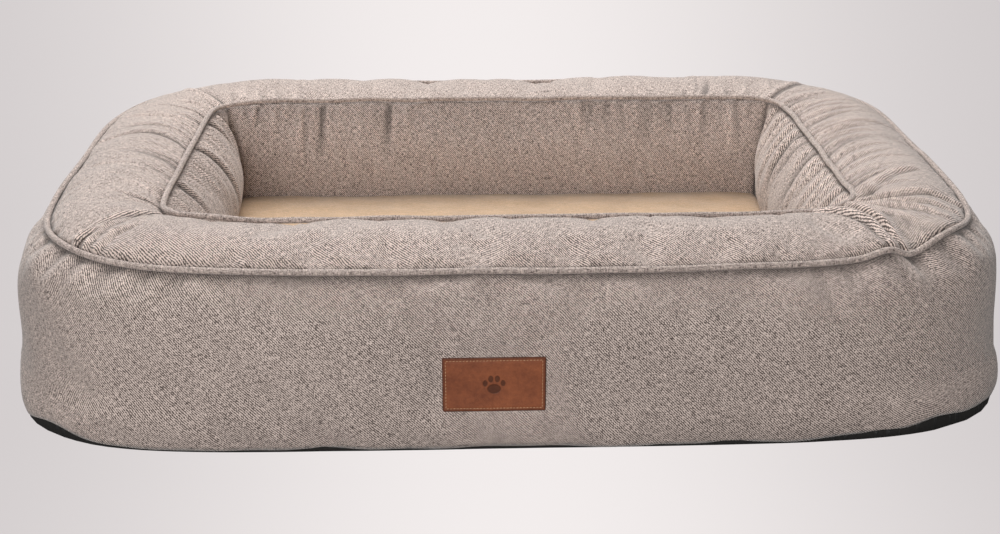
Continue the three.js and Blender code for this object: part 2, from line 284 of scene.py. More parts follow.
def paw_print(x, y):
    """A plain paw pressed into the middle of the label: four toes above a pad."""
    palm = (0.0, -0.0045, 0.0062, 0.0048)
    inner_toes = [(side * 0.0030, 0.0056, 0.0023, 0.0034) for side in (-1, 1)]
    outer_toes = [(side * 0.0082, 0.0012, 0.0022, 0.0031) for side in (-1, 1)]
    mask = None
    for middle_x, middle_y, half_width, half_height in (palm, *inner_toes, *outer_toes):
        across, up = (x - middle_x) / half_width, (y - middle_y) / half_height
        pad = (across * across + up * up).ramp(0.85, 1.12, 1.0, 0.0)
        mask = mask.math("MAXIMUM", pad) if mask else pad
    return mask


def thread(name, light, dark):
    """Waxed sewing thread with a visible twist."""
    shader = Shader(name)
    spot = shader.coordinates(uv=False)
    x, y, z = shader.parts(spot)
    twist = ((x + z) * (2 * math.pi / 0.0011) + y * 1500).sine()
    wear = shader.noise(spot, (300, 300, 300), detail=2.0)
    tone = twist * 0.2 + wear
    color = shader.mix(tone.ramp(0.25, 0.8), dark, light)
    return shader.finish(color, tone.ramp(0.2, 1.0, 0.75, 0.5), shader.bump(twist, 0.0001, 0.6))


def moulded(name, light, dark, roughness=0.45, grain_size=900.0, metallic=0.0):
    """Moulded nylon or die-cast metal with a fine sandy grain and worn high spots."""
    shader = Shader(name)
    spot = shader.coordinates(uv=False)
    grain = shader.noise(shader.scaled(spot, (grain_size,) * 3), detail=3.0)
    wear = shader.noise(spot, (120, 120, 120), detail=3.0)
    tone = grain * 0.5 + wear * 0.6
    color = shader.mix(tone.ramp(0.35, 0.8), dark, light)
    normal = shader.bump(grain, 0.0001, 0.4)
    rough = tone.ramp(0.3, 0.9, roughness + 0.12, roughness - 0.08)
    return shader.finish(color, rough, normal, metallic=metallic)


def foam(name, light, dark, cell=0.0016):
    """Cut open-cell foam: small round pores of mixed size."""
    shader = Shader(name)
    spot = shader.coordinates(uv=False)
    pores = shader.cells(spot, 1 / cell)
    fine = shader.cells(spot, 2.7 / cell)
    cloud = shader.noise(spot, 14.0, 3.0)
    tone = pores * 0.6 + fine * 0.35 + cloud * 0.4
    color = shader.mix(tone.ramp(0.2, 0.85), dark, light)
    normal = shader.bump(pores + fine * 0.5, 0.0008, 0.8)
    return shader.finish(color, tone.ramp(0.2, 0.9, 0.98, 0.85), normal, subsurface_weight=0.05)


def fibre(name, light, dark):
    """Polyester filling in its thin liner: crossing fine fibres."""
    shader = Shader(name)
    spot = shader.coordinates(uv=False)
    strands = shader.noise(shader.scaled(spot, (90, 700, 700), turn=0.5), detail=3.0, roughness=0.7)
    crossed = shader.noise(shader.scaled(spot, (700, 90, 700), turn=-0.4), detail=3.0, roughness=0.7)
    tone = strands * 0.6 + crossed * 0.6
    color = shader.mix(tone.ramp(0.35, 0.85), dark, light)
    normal = shader.bump(tone, 0.0015, 0.6)
    return shader.finish(color, tone.ramp(0.3, 0.9, 1.0, 0.85), normal, sheen_weight=0.4)


# ----------------------------------------
# Outlines and the cover's grid
# ----------------------------------------

# The cover's section, as (inset from the widest outline, roundness of the corners, height).
# Roundness is one over the power of the superellipse: 0.5 is an ellipse, 0 is a rectangle.
WALL_KEYS = [
    (0.0050, 0.172, 0.0025),
    (0.0030, 0.185, 0.020),
    (0.0058, 0.206, 0.055),
    (0.0068, 0.214, 0.095),
    (0.0090, 0.218, 0.128),
    (0.0145, 0.222, 0.152),
    (OUTER_SEAM, 0.230, OUTER_SEAM_Z - 0.001),
]
TOP_KEYS = [
    WALL_KEYS[-1],
    (OUTER_SEAM + 0.007, 0.228, OUTER_SEAM_Z + 0.0055),
    (0.053, 0.222, CREST_Z - 0.0090),
    (0.070, 0.205, CREST_Z - 0.0030),
    (0.090, 0.180, CREST_Z - 0.0015),
    (0.112, 0.150, CREST_Z - 0.0030),
    (0.130, 0.125, CREST_Z - 0.0070),
    (INNER_SEAM - 0.005, 0.112, INNER_SEAM_Z + 0.0012),
    (INNER_SEAM, 0.107, INNER_SEAM_Z - 0.0020),
]
WELL_KEYS = [
    TOP_KEYS[-1],
    (0.1490, 0.105, 0.160),
    (0.1510, 0.102, 0.135),
    (0.1520, 0.100, 0.110),
    (0.1540, 0.100, 0.080),
    (0.1560, 0.100, 0.050),
    (0.1570, 0.100, 0.004),
]
WALL_ROWS, TOP_ROWS, WELL_ROWS = 30, 52, 30

# Stations along a side: even steps on its straight middle, and even steps round each half corner.
STRAIGHT = {RIGHT: 0.110, LEFT: 0.110, BACK: 0.240, FRONT: 0.240}
STRAIGHT_STEPS = {RIGHT: 80, LEFT: 80, BACK: 100, FRONT: 100}
CORNER_STEPS = 52

# At the front right the mitre runs steeply forwards, so its outer end lies this far left of mid corner.
SKEWED_MITRE = 0.045
SKEWED_MITRE_END = 0.008


def spline(keys, steps_at):
    """A smooth line through the keys, sampled at these shares of its length in section."""
    keys = np.array(keys, float)
    padded = np.vstack([2 * keys[0] - keys[1], keys, 2 * keys[-1] - keys[-2]])
    fine = []
    for i in range(len(keys) - 1):
        a, b, c, d = padded[i : i + 4]
        t = np.linspace(0, 1, 24, endpoint=False)[:, None]
        curved, twisted = 2 * a - 5 * b + 4 * c - d, 3 * b - a - 3 * c + d
        fine.append(0.5 * (2 * b + (c - a) * t + curved * t**2 + twisted * t**3))
    fine = np.vstack([*fine, keys[-1:]])
    steps = np.hypot(np.diff(fine[:, 0]), np.diff(fine[:, 2]))
    length = np.concatenate([[0], np.cumsum(steps)])
    wanted = steps_at * length[-1]
    return np.column_stack([np.interp(wanted, length, fine[:, i]) for i in range(3)])


def crowded(count, start, end):
    """Shares from 0 to 1 that lie closer together at the start, at the end or at both."""
    t = np.linspace(0, 1, count)
    if start and end:
        return t - 0.62 * np.sin(2 * math.pi * t) / (2 * math.pi)
    return t + (0.6 if end else -0.6) * np.sin(math.pi * t) / math.pi


def superellipse(reach, half, power, along):
    """How far out a side lies at each place along it."""
    return reach * (1 - np.abs(along / half) ** power) ** (1 / power)


def corner_cut(half_x, half_y, power):
    """How far a mid corner lies inside both half sizes."""
    low, high = 0.0, min(half_x, half_y)
    for _ in range(40):
        cut = (low + high) / 2
        outside = (1 - cut / half_x) ** power + (1 - cut / half_y) ** power > 1
        low, high = (cut, high) if outside else (low, cut)
    return cut


def turned(out, along, height, side):
    """Points given outwards and along a side, in the row frame."""
    x = [out, -along, -out, along][side]
    y = [along, out, -along, -out][side]
    return np.column_stack([x, y, np.full(len(out), height)])


def outline(half_x, half_y, roundness, height, skew=0.0):
    """A closed outline, from the front right mitre round to the front right mitre."""
    power = 1 / roundness
    cut = corner_cut(half_x, half_y, power)
    points = []
    for side in (RIGHT, BACK, LEFT, FRONT):
        reach, half = (half_x, half_y) if side % 2 == 0 else (half_y, half_x)
        start, end = cut - half, half - cut
        if side == FRONT:
            end -= skew
        if side == RIGHT:
            start = -superellipse(half_y, half_x, power, np.float64(half_x - cut - skew))
        middle = STRAIGHT[side]
        along = np.concatenate([
            np.linspace(start, -middle, CORNER_STEPS, endpoint=False),
            np.linspace(-middle, middle, STRAIGHT_STEPS[side], endpoint=False),
            np.linspace(middle, end, CORNER_STEPS, endpoint=False),
        ])
        points.append(turned(superellipse(reach, half, power, along), along, height, side))
    return np.vstack(points)


def side_stations():
    """The side of each station, and the first station of each side."""
    counts = [2 * CORNER_STEPS + STRAIGHT_STEPS[side] for side in range(4)]
    return np.repeat(range(4), counts), np.concatenate([[0], np.cumsum(counts)])


STATION_SIDE, SIDE_START = side_stations()
OUTWARDS = np.array([[1, 0], [0, 1], [-1, 0], [0, -1]])[STATION_SIDE]
ALONG = np.array([[0, 1], [-1, 0], [0, -1], [1, 0]])[STATION_SIDE]


def steps_from_mitre():
    number = np.arange(SIDE_START[-1])
    first = SIDE_START[STATION_SIDE]
    last = SIDE_START[STATION_SIDE + 1]
    return np.minimum(number - first, last - number).astype(float)


def inland():
    """How far each station is from a mitre: 0 at it, 1 well away."""
    return fade(steps_from_mitre(), 0, 9)


def bump_at(distance, width):
    """A smooth bump of height 1."""
    return np.exp(-((distance / width) ** 2))


def fade(value, low, high):
    """0 below low, 1 above high, smooth between; low may be the larger."""
    share = np.clip((value - low) / (high - low), 0, 1)
    return share * share * (3 - 2 * share)


def waves(u, v, seed, shortest, longest, count=10):
    """Soft unevenness from a few waves in random directions, between about -1 and 1."""
    rng = np.random.default_rng(seed)
    total = np.zeros(np.broadcast(u, v).shape)
    for _ in range(count):
        angle = rng.uniform(0, 2 * math.pi)
        length = rng.uniform(shortest, longest)
        phase = (u * math.cos(angle) + v * math.sin(angle)) * 2 * math.pi / length
        total += np.sin(phase + rng.uniform(0, 2 * math.pi))
    return total / math.sqrt(count)


def normals(grid):
    """Outward normals of a grid of rows that close on themselves."""
    round_it = np.roll(grid, -1, 1) - np.roll(grid, 1, 1)
    up = np.gradient(grid, axis=0)
    cross = np.cross(round_it, up)
    return cross / np.maximum(np.linalg.norm(cross, axis=2, keepdims=True), 1e-12)


def to_line(x, y, line):
    """Signed distance to a line of points, positive on its left, and the share along it."""
    line = np.array(line, float) / 1000
    steps = np.diff(line, axis=0)
    lengths = np.hypot(*steps.T)
    best = np.full(x.shape, 9.0)
    signed, share = np.zeros(x.shape), np.zeros(x.shape)
    done = 0.0
    for start, step, length in zip(line, steps, lengths):
        t = np.clip(((x - start[0]) * step[0] + (y - start[1]) * step[1]) / length**2, 0, 1)
        dx, dy = x - start[0] - t * step[0], y - start[1] - t * step[1]
        distance = np.hypot(dx, dy)
        nearer = distance < best
        best = np.where(nearer, distance, best)
        side = np.sign(step[0] * dy - step[1] * dx)
        signed = np.where(nearer, side * distance, signed)
        share = np.where(nearer, (done + t * length) / lengths.sum(), share)
        done += length
    return signed, share


# Creases of the top panels round the corners, as lines seen from above in millimetres, each with the
# height and half width of its fold in millimetres. The fold stands to the left of its line.
CORNER_CREASES = [
    ([(341, -190), (371, -159), (400, -129), (428, -116)], 7.0, 5.0),
    ([(352, -168), (372, -146), (384, -133)], 4.2, 4.0),
    ([(336, -203), (370, -195), (411, -191), (450, -197)], 6.4, 5.0),
    ([(335, -208), (378, -212), (436, -226)], 4.6, 4.6),
    ([(333, -212), (368, -226), (418, -251)], 6.0, 4.6),
    ([(330, -212), (352, -240), (392, -272)], 4.8, 4.4),
    ([(322, -212), (343, -258), (363, -300)], 7.2, 5.0),
    ([(288, -221), (309, -238), (332, -270), (348, -304)], 6.2, 5.4),
    ([(-412, -272), (-388, -242), (-369, -224), (-340, -201)], 5.6, 4.6),
    ([(-399, -279), (-386, -252), (-364, -231)], 4.0, 4.2),
    ([(-387, -284), (-374, -262), (-350, -242)], 2.2, 5.0),
    ([(-414, -262), (-398, -252)], 2.0, 4.0),
    ([(336, 196), (372, 232), (408, 268)], 3.2, 5.0),
    ([(-336, 196), (-372, 232), (-408, 268)], 3.2, 5.0),
]


def crease_profile(distance, width):
    """A fold that rises steeply from a sharp line and falls away softly."""
    ridge = bump_at(distance - 0.9 * width, width)
    groove = bump_at(distance + 0.3 * width, 0.55 * width)
    return ridge - 0.8 * groove


def corner_creases(x, y):
    total = np.zeros(x.shape)
    for line, height, width in CORNER_CREASES:
        distance, share = to_line(x, y, line)
        strength = fade(share, 0.0, 0.06) * (1 - 0.55 * fade(share, 0.5, 1.0))
        near_ends = np.where((share > 0) & (share < 1), 1.0, 0.0)
        total += height / 1000 * crease_profile(distance, width / 1000) * strength * near_ends
    return total


def gathers(along, depth, folds):
    """Folds that leave a seam. Each is (place along it, slant, length, height, half width)."""
    total = np.zeros(along.shape)
    for place, slant, length, height, width in folds:
        path = place + slant * (1 - np.exp(-depth / 0.035))
        reach = fade(depth, 0.0, 0.007) * fade(depth, length, 0.25 * length)
        spread = width * (1 + 6 * depth)
        total += height * crease_profile(along - path, spread) * reach
    return total


def random_folds(seed, start, end, spacing, slant, length, height, width):
    """Folds at uneven steps along a seam; each pair of numbers is a range."""
    rng = np.random.default_rng(seed)
    folds = []
    place = start + rng.uniform(0, spacing[0])
    while place < end:
        sign = 1 if rng.uniform() < 0.75 else -1
        folds.append((
            place,
            rng.uniform(*slant),
            rng.uniform(*length),
            sign * rng.uniform(*height),
            rng.uniform(*width),
        ))
        place += rng.uniform(*spacing)
    return folds


def cover_rows():
    wall = spline(WALL_KEYS, crowded(WALL_ROWS, False, True))
    # Two rows follow the edges of the zip's opening.
    for height in ZIP_SLOT:
        nearest = np.argmin(np.abs(wall[:, 2] - height))
        wall[nearest, 2] = height
    top = spline(TOP_KEYS, crowded(TOP_ROWS, True, True))
    well = spline(WELL_KEYS, crowded(WELL_ROWS, True, False))
    return np.vstack([wall, top[1:], well[1:]])


ZIP_CENTRE_Z = (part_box("cover_zip_tape_upper")[1].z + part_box("cover_zip_tape_lower")[0].z) / 2
ZIP_SLOT_HALF = 0.007
ZIP_SLOT = (ZIP_CENTRE_Z - ZIP_SLOT_HALF, ZIP_CENTRE_Z + ZIP_SLOT_HALF)
ZIP_SLOT_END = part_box("cover_zip_top_stop")[1].x + 0.002
OUTER_ROW = WALL_ROWS - 1
INNER_ROW = OUTER_ROW + TOP_ROWS - 1
LAST_ROW = INNER_ROW + WELL_ROWS - 1


def row_skew(row):
    """The mitre's skew on a row: full on the wall, and almost none in the well."""
    if row <= OUTER_ROW:
        return SKEWED_MITRE
    if row <= INNER_ROW:
        share = (row - OUTER_ROW) / (INNER_ROW - OUTER_ROW)
        return SKEWED_MITRE + (SKEWED_MITRE_END - SKEWED_MITRE) * share
    return SKEWED_MITRE_END * (LAST_ROW - row) / (LAST_ROW - INNER_ROW)


def smooth_cover():
    """The cover without wrinkles, as rows of stations."""
    rows = cover_rows()
    grid = np.array([
        outline(HALF_X - inset, HALF_Y - inset, roundness, height, row_skew(row))
        for row, (inset, roundness, height) in enumerate(rows)
    ])
    along = np.einsum("rsk,sk->rs", grid[:, :, :2], ALONG)
    # The well's side walls belly inwards; the front and back ones only a little.
    well = np.arange(LAST_ROW + 1) >= INNER_ROW
    depth = (INNER_SEAM_Z - grid[:, :, 2]).clip(0)
    belly = np.sin(math.pi * (depth / 0.152).clip(0, 1) ** 0.9)
    is_side = STATION_SIDE % 2 == 0
    half = np.where(is_side, 0.196, 0.330)
    share = (1 - np.abs(along / half) ** 5).clip(0)
    reach = np.where(is_side, 0.036, 0.007)
    # The back wall is flat along its zip.
    flat = zip_zone(grid)
    grid[:, :, 1] += flat * (HALF_Y - 0.0006 - grid[:, :, 1])
    push = belly * share * reach * well[:, None]
    tuck = bump_at(steps_from_mitre()[None, :], 5.0) * fade(depth, 0.0, 0.035) * well[:, None]
    push -= 0.006 * tuck
    grid[:, :, :2] -= push[:, :, None] * OUTWARDS[None, :, :]
    return grid


def seam_lifts(grid):
    """How much the seams wander up and down at each station, and how far that reaches into the panels."""
    x, y = grid[OUTER_ROW, :, 0], grid[OUTER_ROW, :, 1]
    front = (y < 0) & (x > 0)
    outer = 0.0006 * waves(x, y, 11, 0.09, 0.25)
    outer += front * 0.007 * bump_at(x - 0.345, 0.020)
    outer -= front * 0.006 * bump_at(x - 0.369, 0.013)
    outer += front * 0.010 * bump_at(x - 0.414, 0.034)
    outer += 0.003 * bump_at(np.hypot(x + 0.425, y + 0.25), 0.05)
    outer -= 0.003 * bump_at(x, 0.25) * (y > 0)
    ix, iy = grid[INNER_ROW, :, 0], grid[INNER_ROW, :, 1]
    inner = 0.0007 * waves(ix, iy, 12, 0.05, 0.14)
    inner += 0.006 * bump_at(np.hypot(ix - 0.345, iy + 0.180), 0.034)
    inner += 0.003 * bump_at(np.hypot(ix + 0.310, iy + 0.205), 0.040)
    row = np.arange(LAST_ROW + 1)[:, None]
    length = lengths(grid, 0)
    lift = outer * bump_at(length - length[OUTER_ROW], 0.040)
    lift += inner * bump_at(length - length[INNER_ROW], 0.035)
    # The back bolster's crest sags in the middle.
    between = (row > OUTER_ROW) & (row < INNER_ROW)
    behind = fade(grid[:, :, 1], 0.10, 0.20)
    sag = (0.0035 + 0.0050 * bump_at(grid[:, :, 0], 0.24)) * behind * between
    return lift - sag * np.sin(math.pi * ((row - OUTER_ROW) / (INNER_ROW - OUTER_ROW)).clip(0, 1))


def hem_lift(x, y):
    """The hem rides up over the black base cloth at the front corners."""
    front = y < -0.15
    lift = 0.0125 * bump_at(np.hypot(x + 0.440, y + 0.310), 0.036)
    lift += 0.013 * bump_at(np.hypot(x - 0.402, y + 0.334), 0.030)
    lift += 0.008 * bump_at(np.hypot(x - 0.448, y + 0.302), 0.042)
    lift += 0.0045 * bump_at(np.hypot(x - 0.325, y + 0.352), 0.050)
    return lift * front + 0.0008 * (1 + waves(x, y, 5, 0.05, 0.2))


def zip_zone(grid):
    """1 where the zip holds the back wall flat, and 0 away from it."""
    x, y, z = grid[:, :, 0], grid[:, :, 1], grid[:, :, 2]
    on_wall = (np.arange(len(grid)) <= OUTER_ROW)[:, None] & (y > 0.2)
    level = fade(np.abs(z - ZIP_CENTRE_Z), 0.062, 0.012)
    return on_wall * fade(np.abs(x), ZIP_SLOT_END + 0.10, ZIP_SLOT_END + 0.008) * level


def calm(grid):
    """1 where the zip and the label hold the cloth flat, and 0 away from them."""
    x, y, z = grid[:, :, 0], grid[:, :, 1], grid[:, :, 2]
    label_zone = (y < 0) * fade(np.abs(x - LABEL_X), 0.08, 0.05) * fade(np.abs(z - LABEL_Z), 0.05, 0.03)
    return np.maximum(zip_zone(grid), label_zone)


def wrinkled_cover(settings):
    """The cover with its gathers, creases and uneven hem, before it is puffed up."""
    grid = smooth_cover()
    row = np.arange(LAST_ROW + 1)[:, None]
    along = np.einsum("rsk,sk->rs", grid[:, :, :2], ALONG)
    length = lengths(grid, 0)
    from_inner = np.abs(length - length[INNER_ROW])
    from_outer = np.abs(length - length[OUTER_ROW])
    on_top = (row > OUTER_ROW) & (row < INNER_ROW)
    on_wall = row < OUTER_ROW
    in_well = row > INNER_ROW
    side = STATION_SIDE[None, :]
    away = inland()[None, :]
    x, y = grid[:, :, 0], grid[:, :, 1]

    push = np.zeros(grid.shape[:2])
    # Top panels: long arcs leave the inner seam and lean backwards.
    for facing, lean, seed in ((RIGHT, 1, 31), (LEFT, -1, 32)):
        here = on_top * (side == facing) * away
        arcs = random_folds(seed, -0.185, 0.190, (0.009, 0.019), (0.012, 0.032), (0.050, 0.125),
                            (0.0014, 0.0034), (0.0028, 0.0044))
        arcs = [(place, lean * slant, *rest) for place, slant, *rest in arcs]
        push += here * gathers(along, from_inner, arcs)
    # Front and back panels: short puckers along the inner seam, and on the back panel longer ones near the
    # corners.
    for facing, seed in ((FRONT, 33), (BACK, 34)):
        here = on_top * (side == facing) * away
        short = random_folds(seed, -0.30, 0.30, (0.024, 0.060), (-0.006, 0.006), (0.014, 0.036),
                             (0.0010, 0.0022), (0.004, 0.007))
        push += here * gathers(along, from_inner, short)
        for end in (-1, 1):
            fan = random_folds(seed + 2 + end, 0.235, 0.335, (0.014, 0.026), (0.006, 0.022), (0.05, 0.09),
                               (0.0016, 0.0030), (0.004, 0.006))
            fan = [(end * place, end * slant, *rest) for place, slant, *rest in fan]
            if facing == BACK:
                push += here * gathers(along, from_inner, fan)
    push += on_top * corner_creases(x, y)
    # Well: upright folds under the seam, strongest beside the corners.
    for facing, half, seed in ((BACK, 0.325, 41), (FRONT, 0.325, 42), (RIGHT, 0.19, 43), (LEFT, 0.19, 44)):
        here = in_well * (side == facing) * away
        if facing in (BACK, FRONT):
            for end in (-1, 1):
                folds = random_folds(seed + end * 5, 0.10, half, (0.011, 0.026), (-0.004, 0.010),
                                     (0.03, 0.095), (0.0012, 0.0034), (0.0036, 0.0060))
                folds = [(end * place, end * slant, *rest) for place, slant, *rest in folds]
                push += here * gathers(along, from_inner, folds)
        else:
            folds = random_folds(seed, -half, half, (0.013, 0.026), (-0.030, 0.004), (0.06, 0.12),
                                 (0.0020, 0.0042), (0.0040, 0.0062))
            push += here * gathers(along, from_inner, folds)
    # Outer wall: short puckers under the piping at the corners, and a few faint sags.
    for end in range(4):
        corner = SIDE_START[end]
        half = grid.shape[1] // 2
        near = bump_at(((np.arange(grid.shape[1]) - corner + half) % (2 * half) - half)[None, :], 32)
        turn = np.arctan2(y, x)
        pucker = 0.0012 * np.sin(turn * 95 + 0.6 * np.sin(turn * 37))
        pucker = pucker * fade(from_outer, 0.055, 0.010) * fade(from_outer, 0.0, 0.008)
        push += on_wall * near * pucker
    push *= settings.wrinkles * (1 - calm(grid))
    to_seam = np.minimum(from_inner, from_outer)
    # Painted shade and highlight for the cloth's colour: negative in the grooves of folds, positive along
    # their ridges.
    painted_fold_shading = np.clip(push / 0.0030, -1, 1.2)
    # Painted shadow: the colour darkens under the piping.
    painted_piping_shadow = bump_at(to_seam, 0.0062 + 0.0022 * on_wall)
    painted_fold_shading -= 0.95 * painted_piping_shadow * (1 - 0.7 * ((from_inner < from_outer) & in_well))
    # Painted shade: the colour darkens along the mitre seams.
    painted_mitre_shade = bump_at(steps_from_mitre(), 1.2)[None, :]
    painted_fold_shading -= painted_mitre_shade * (0.9 * in_well + 0.7 * on_top)
    Cover.painted_fold_shading = np.clip(painted_fold_shading, -1, 1)
    push += 0.0012 * waves(x + grid[:, :, 2], y, 21, 0.05, 0.19) * fade(to_seam, 0.0, 0.02) * (1 - calm(grid))
    push -= settings.seam_dip * np.exp(-to_seam / 0.0055)

    grid += push[:, :, None] * normals(grid)
    grid[:, :, 2] += seam_lifts(grid)
    hem = hem_lift(grid[0, :, 0], grid[0, :, 1])
    grid[:, :, 2] += hem[None, :] * fade(length, 0.060, 0.0)
    return grid


def settle(grid, settings):
    """Puffs the cover up by cloth simulation, held at its seams, and returns the grid that it settles to."""
    rows, stations = grid.shape[:2]
    mesh = grid_mesh("cover_rest", grid, wrap=True)
    obj = bpy.data.objects.new("cover_rest", mesh)
    bpy.context.scene.collection.objects.link(obj)
    row = np.arange(rows)[:, None] * np.ones(stations)
    hold = np.zeros((rows, stations))
    for seam in (0, OUTER_ROW, INNER_ROW, rows - 1):
        hold[np.abs(row - seam) < 0.5] = 1.0
    hold[zip_zone(grid) > 0.95] = 1.0
    behind_label = (grid[:, :, 1] < -HALF_Y * 0.9) & (np.abs(grid[:, :, 0] - LABEL_X) < 0.055)
    hold[behind_label & (np.abs(grid[:, :, 2] - LABEL_Z) < 0.033)] = 0.9
    group = obj.vertex_groups.new(name="hold")
    flat = hold.ravel()
    for weight in np.unique(flat[flat > 0]):
        group.add([int(i) for i in np.flatnonzero(flat == weight)], float(weight), "REPLACE")

    cloth = obj.modifiers.new("Cloth", "CLOTH")
    sim = cloth.settings
    sim.quality = 5
    sim.mass = 0.3
    sim.tension_stiffness = sim.compression_stiffness = 12
    sim.shear_stiffness = 6
    sim.bending_stiffness = settings.stiffness
    sim.tension_damping = sim.compression_damping = 8
    sim.shear_damping = 5
    sim.bending_damping = 1
    sim.air_damping = 3
    sim.use_pressure = True
    sim.uniform_pressure_force = settings.pressure
    sim.effector_weights.gravity = 0
    sim.vertex_group_mass = "hold"
    sim.pin_stiffness = 5
    sim.shrink_min = sim.shrink_max = -settings.ease
    cloth.collision_settings.use_collision = False
    cloth.collision_settings.use_self_collision = False
    frames = 20
    cloth.point_cache.frame_start = 1
    cloth.point_cache.frame_end = frames
    scene = bpy.context.scene
    for number in range(1, frames + 1):
        scene.frame_set(number)
    shown = obj.evaluated_get(bpy.context.evaluated_depsgraph_get())
    flat = np.zeros(rows * stations * 3, np.float32)
    shown.data.vertices.foreach_get("co", flat)
    settled = flat.reshape(rows, stations, 3).astype(float)
    bpy.data.objects.remove(obj)
    bpy.data.meshes.remove(mesh)
    scene.frame_set(1)

    moved = settled - grid
    far = np.linalg.norm(moved, axis=2, keepdims=True)
    cap = settings.most_puff
    return grid + moved / np.maximum(far, 1e-9) * cap * np.tanh(far / cap)


# ----------------------------------------
# Meshes
# ----------------------------------------


def grid_mesh(name, grid, wrap=False, uv=None, hole=None):
    """Quads between the rows of a grid; wrap also joins its last station to its first.

    A hole takes the middles of the quads, and says which of them are left out.
    """
    rows, stations = grid.shape[:2]
    index = np.arange(rows * stations).reshape(rows, stations)
    right = np.roll(index, -1, 1) if wrap else index[:, 1:]
    left = index if wrap else index[:, :-1]
    faces = np.stack([left[:-1], right[:-1], right[1:], left[1:]], axis=2).reshape(-1, 4)
    if hole is not None:
        faces = faces[~hole(grid.reshape(-1, 3)[faces].mean(axis=1))]
    mesh = bpy.data.meshes.new(name)
    mesh.from_pydata(grid.reshape(-1, 3).tolist(), [], faces.tolist())
    if uv is not None:
        layer = mesh.uv_layers.new(name="UVMap")
        corners = uv.reshape(-1, 2)[faces.ravel()]
        layer.data.foreach_set("uv", corners.astype(np.float32).ravel())
    mesh.polygons.foreach_set("use_smooth", np.ones(len(mesh.polygons), bool))
    mesh.update()
    return mesh


def new_piece(name, mesh, material, body, nodes=()):
    """A mesh as a piece of the bed: on its body, standing for its CAD nodes."""
    obj = bpy.data.objects.new(name, mesh)
    bpy.context.scene.collection.objects.link(obj)
    mesh.materials.clear()
    mesh.materials.append(material)
    return place_piece(obj, body, nodes)


def place_piece(obj, body, nodes=()):
    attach(obj, body)
    if nodes:
        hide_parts(*nodes)
    return obj


def refine(obj, levels=1, thickness=0.0):
    """Rounds a piece with a subdivision surface, and gives its cloth a thickness on the inside."""
    if levels:
        smooth = obj.modifiers.new("Subdivision", "SUBSURF")
        smooth.levels = levels
        smooth.render_levels = levels
        smooth.boundary_smooth = "PRESERVE_CORNERS"
    if thickness:
        solid = obj.modifiers.new("Solidify", "SOLIDIFY")
        solid.thickness = thickness
        solid.offset = -1
        solid.use_even_offset = False
    return obj


def span(first_side, sides=1):
    """The stations of one side or several, from mitre to mitre, both included."""
    sizes = np.diff(SIDE_START)
    count = sum(sizes[(first_side + i) % 4] for i in range(sides))
    return (SIDE_START[first_side] + np.arange(count + 1)) % SIDE_START[-1]


def lengths(grid, axis):
    steps = np.linalg.norm(np.diff(grid, axis=axis), axis=2)
    start = np.zeros((1, grid.shape[1]) if axis == 0 else (grid.shape[0], 1))
    return np.concatenate([start, np.cumsum(steps, axis=axis)], axis=axis)


def panel(name, grid, rows, stations, material, nodes, planar=False, hole=None):
    """Cuts a panel out of the cover's grid, with its cloth laid along the side it faces."""
    part = grid[rows[0] : rows[1] + 1][:, stations]
    across = np.tile(lengths(part, 0).mean(axis=1)[:, None], (1, part.shape[1]))
    if planar:
        middle = len(stations) // 2
        side_way = ALONG[stations[middle]]
        along = part[:, :, :2] @ side_way
        if rows[1] == INNER_ROW:
            inward = part[:, :, :2] @ np.array([-side_way[1], side_way[0]])
            inward *= np.sign(inward[-1, middle] - inward[0, middle])
            reach = np.clip(inward, inward[0, middle], inward[-1, middle])
            across = np.interp(reach, inward[:, middle], lengths(part, 0)[:, middle]) + inward - reach
    else:
        along = np.tile(lengths(part, 1).mean(axis=0), (part.shape[0], 1))
    uv = np.stack([along, across], axis=2)
    mesh = grid_mesh(name, part, uv=uv, hole=hole)
    # Painted shade and highlight: the fold shading reaches the cloth's colour through this attribute.
    painted_shade_layer = mesh.attributes.new("painted_fold_shading", "FLOAT", "POINT")
    painted_fold_shading = Cover.painted_fold_shading[rows[0] : rows[1] + 1][:, stations]
    painted_shade_layer.data.foreach_set("value", painted_fold_shading.astype(np.float32).ravel())
    piece = new_piece(name, mesh, material, "cover", nodes)
    return refine(piece, 1, 0.0 if planar else CLOTH)


def tube(name, path, lift, radius, material, body, nodes, sides=12):
    """A closed cord along a closed path; lift points away from the cloth that it is sewn to."""
    tangent = np.roll(path, -1, 0) - np.roll(path, 1, 0)
    tangent /= np.linalg.norm(tangent, axis=1, keepdims=True)
    up = lift - tangent * np.sum(lift * tangent, axis=1, keepdims=True)
    up /= np.linalg.norm(up, axis=1, keepdims=True)
    across = np.cross(tangent, up)
    angles = np.linspace(0, 2 * math.pi, sides, endpoint=False)
    rings = [path + radius * (math.cos(a) * up + math.sin(a) * across) for a in angles]
    grid = np.stack([*rings, rings[0]])
    grid = np.concatenate([grid, grid[:, :1]], axis=1)
    along = lengths(grid, 1).mean(axis=0)
    round_it = np.linspace(0, 2 * math.pi * radius, sides + 1)
    uv = np.stack(np.broadcast_arrays(along[None, :], round_it[:, None]), axis=2)
    mesh = grid_mesh(name, grid, uv=uv)
    weld(mesh)
    return new_piece(name, mesh, material, body, nodes)


def weld(mesh, distance=1e-6):
    bm = bmesh.new()
    bm.from_mesh(mesh)
    bmesh.ops.remove_doubles(bm, verts=bm.verts, dist=distance)
    bmesh.ops.recalc_face_normals(bm, faces=bm.faces)
    bm.to_mesh(mesh)
    bm.free()
    mesh.polygons.foreach_set("use_smooth", np.ones(len(mesh.polygons), bool))


class Cover:
    """What the cover's operators share: its grid, its painted fold shading and its cloth."""

    grid = None
    painted_fold_shading = None
    cloth = None


# ----------------------------------------
# Settings
# ----------------------------------------


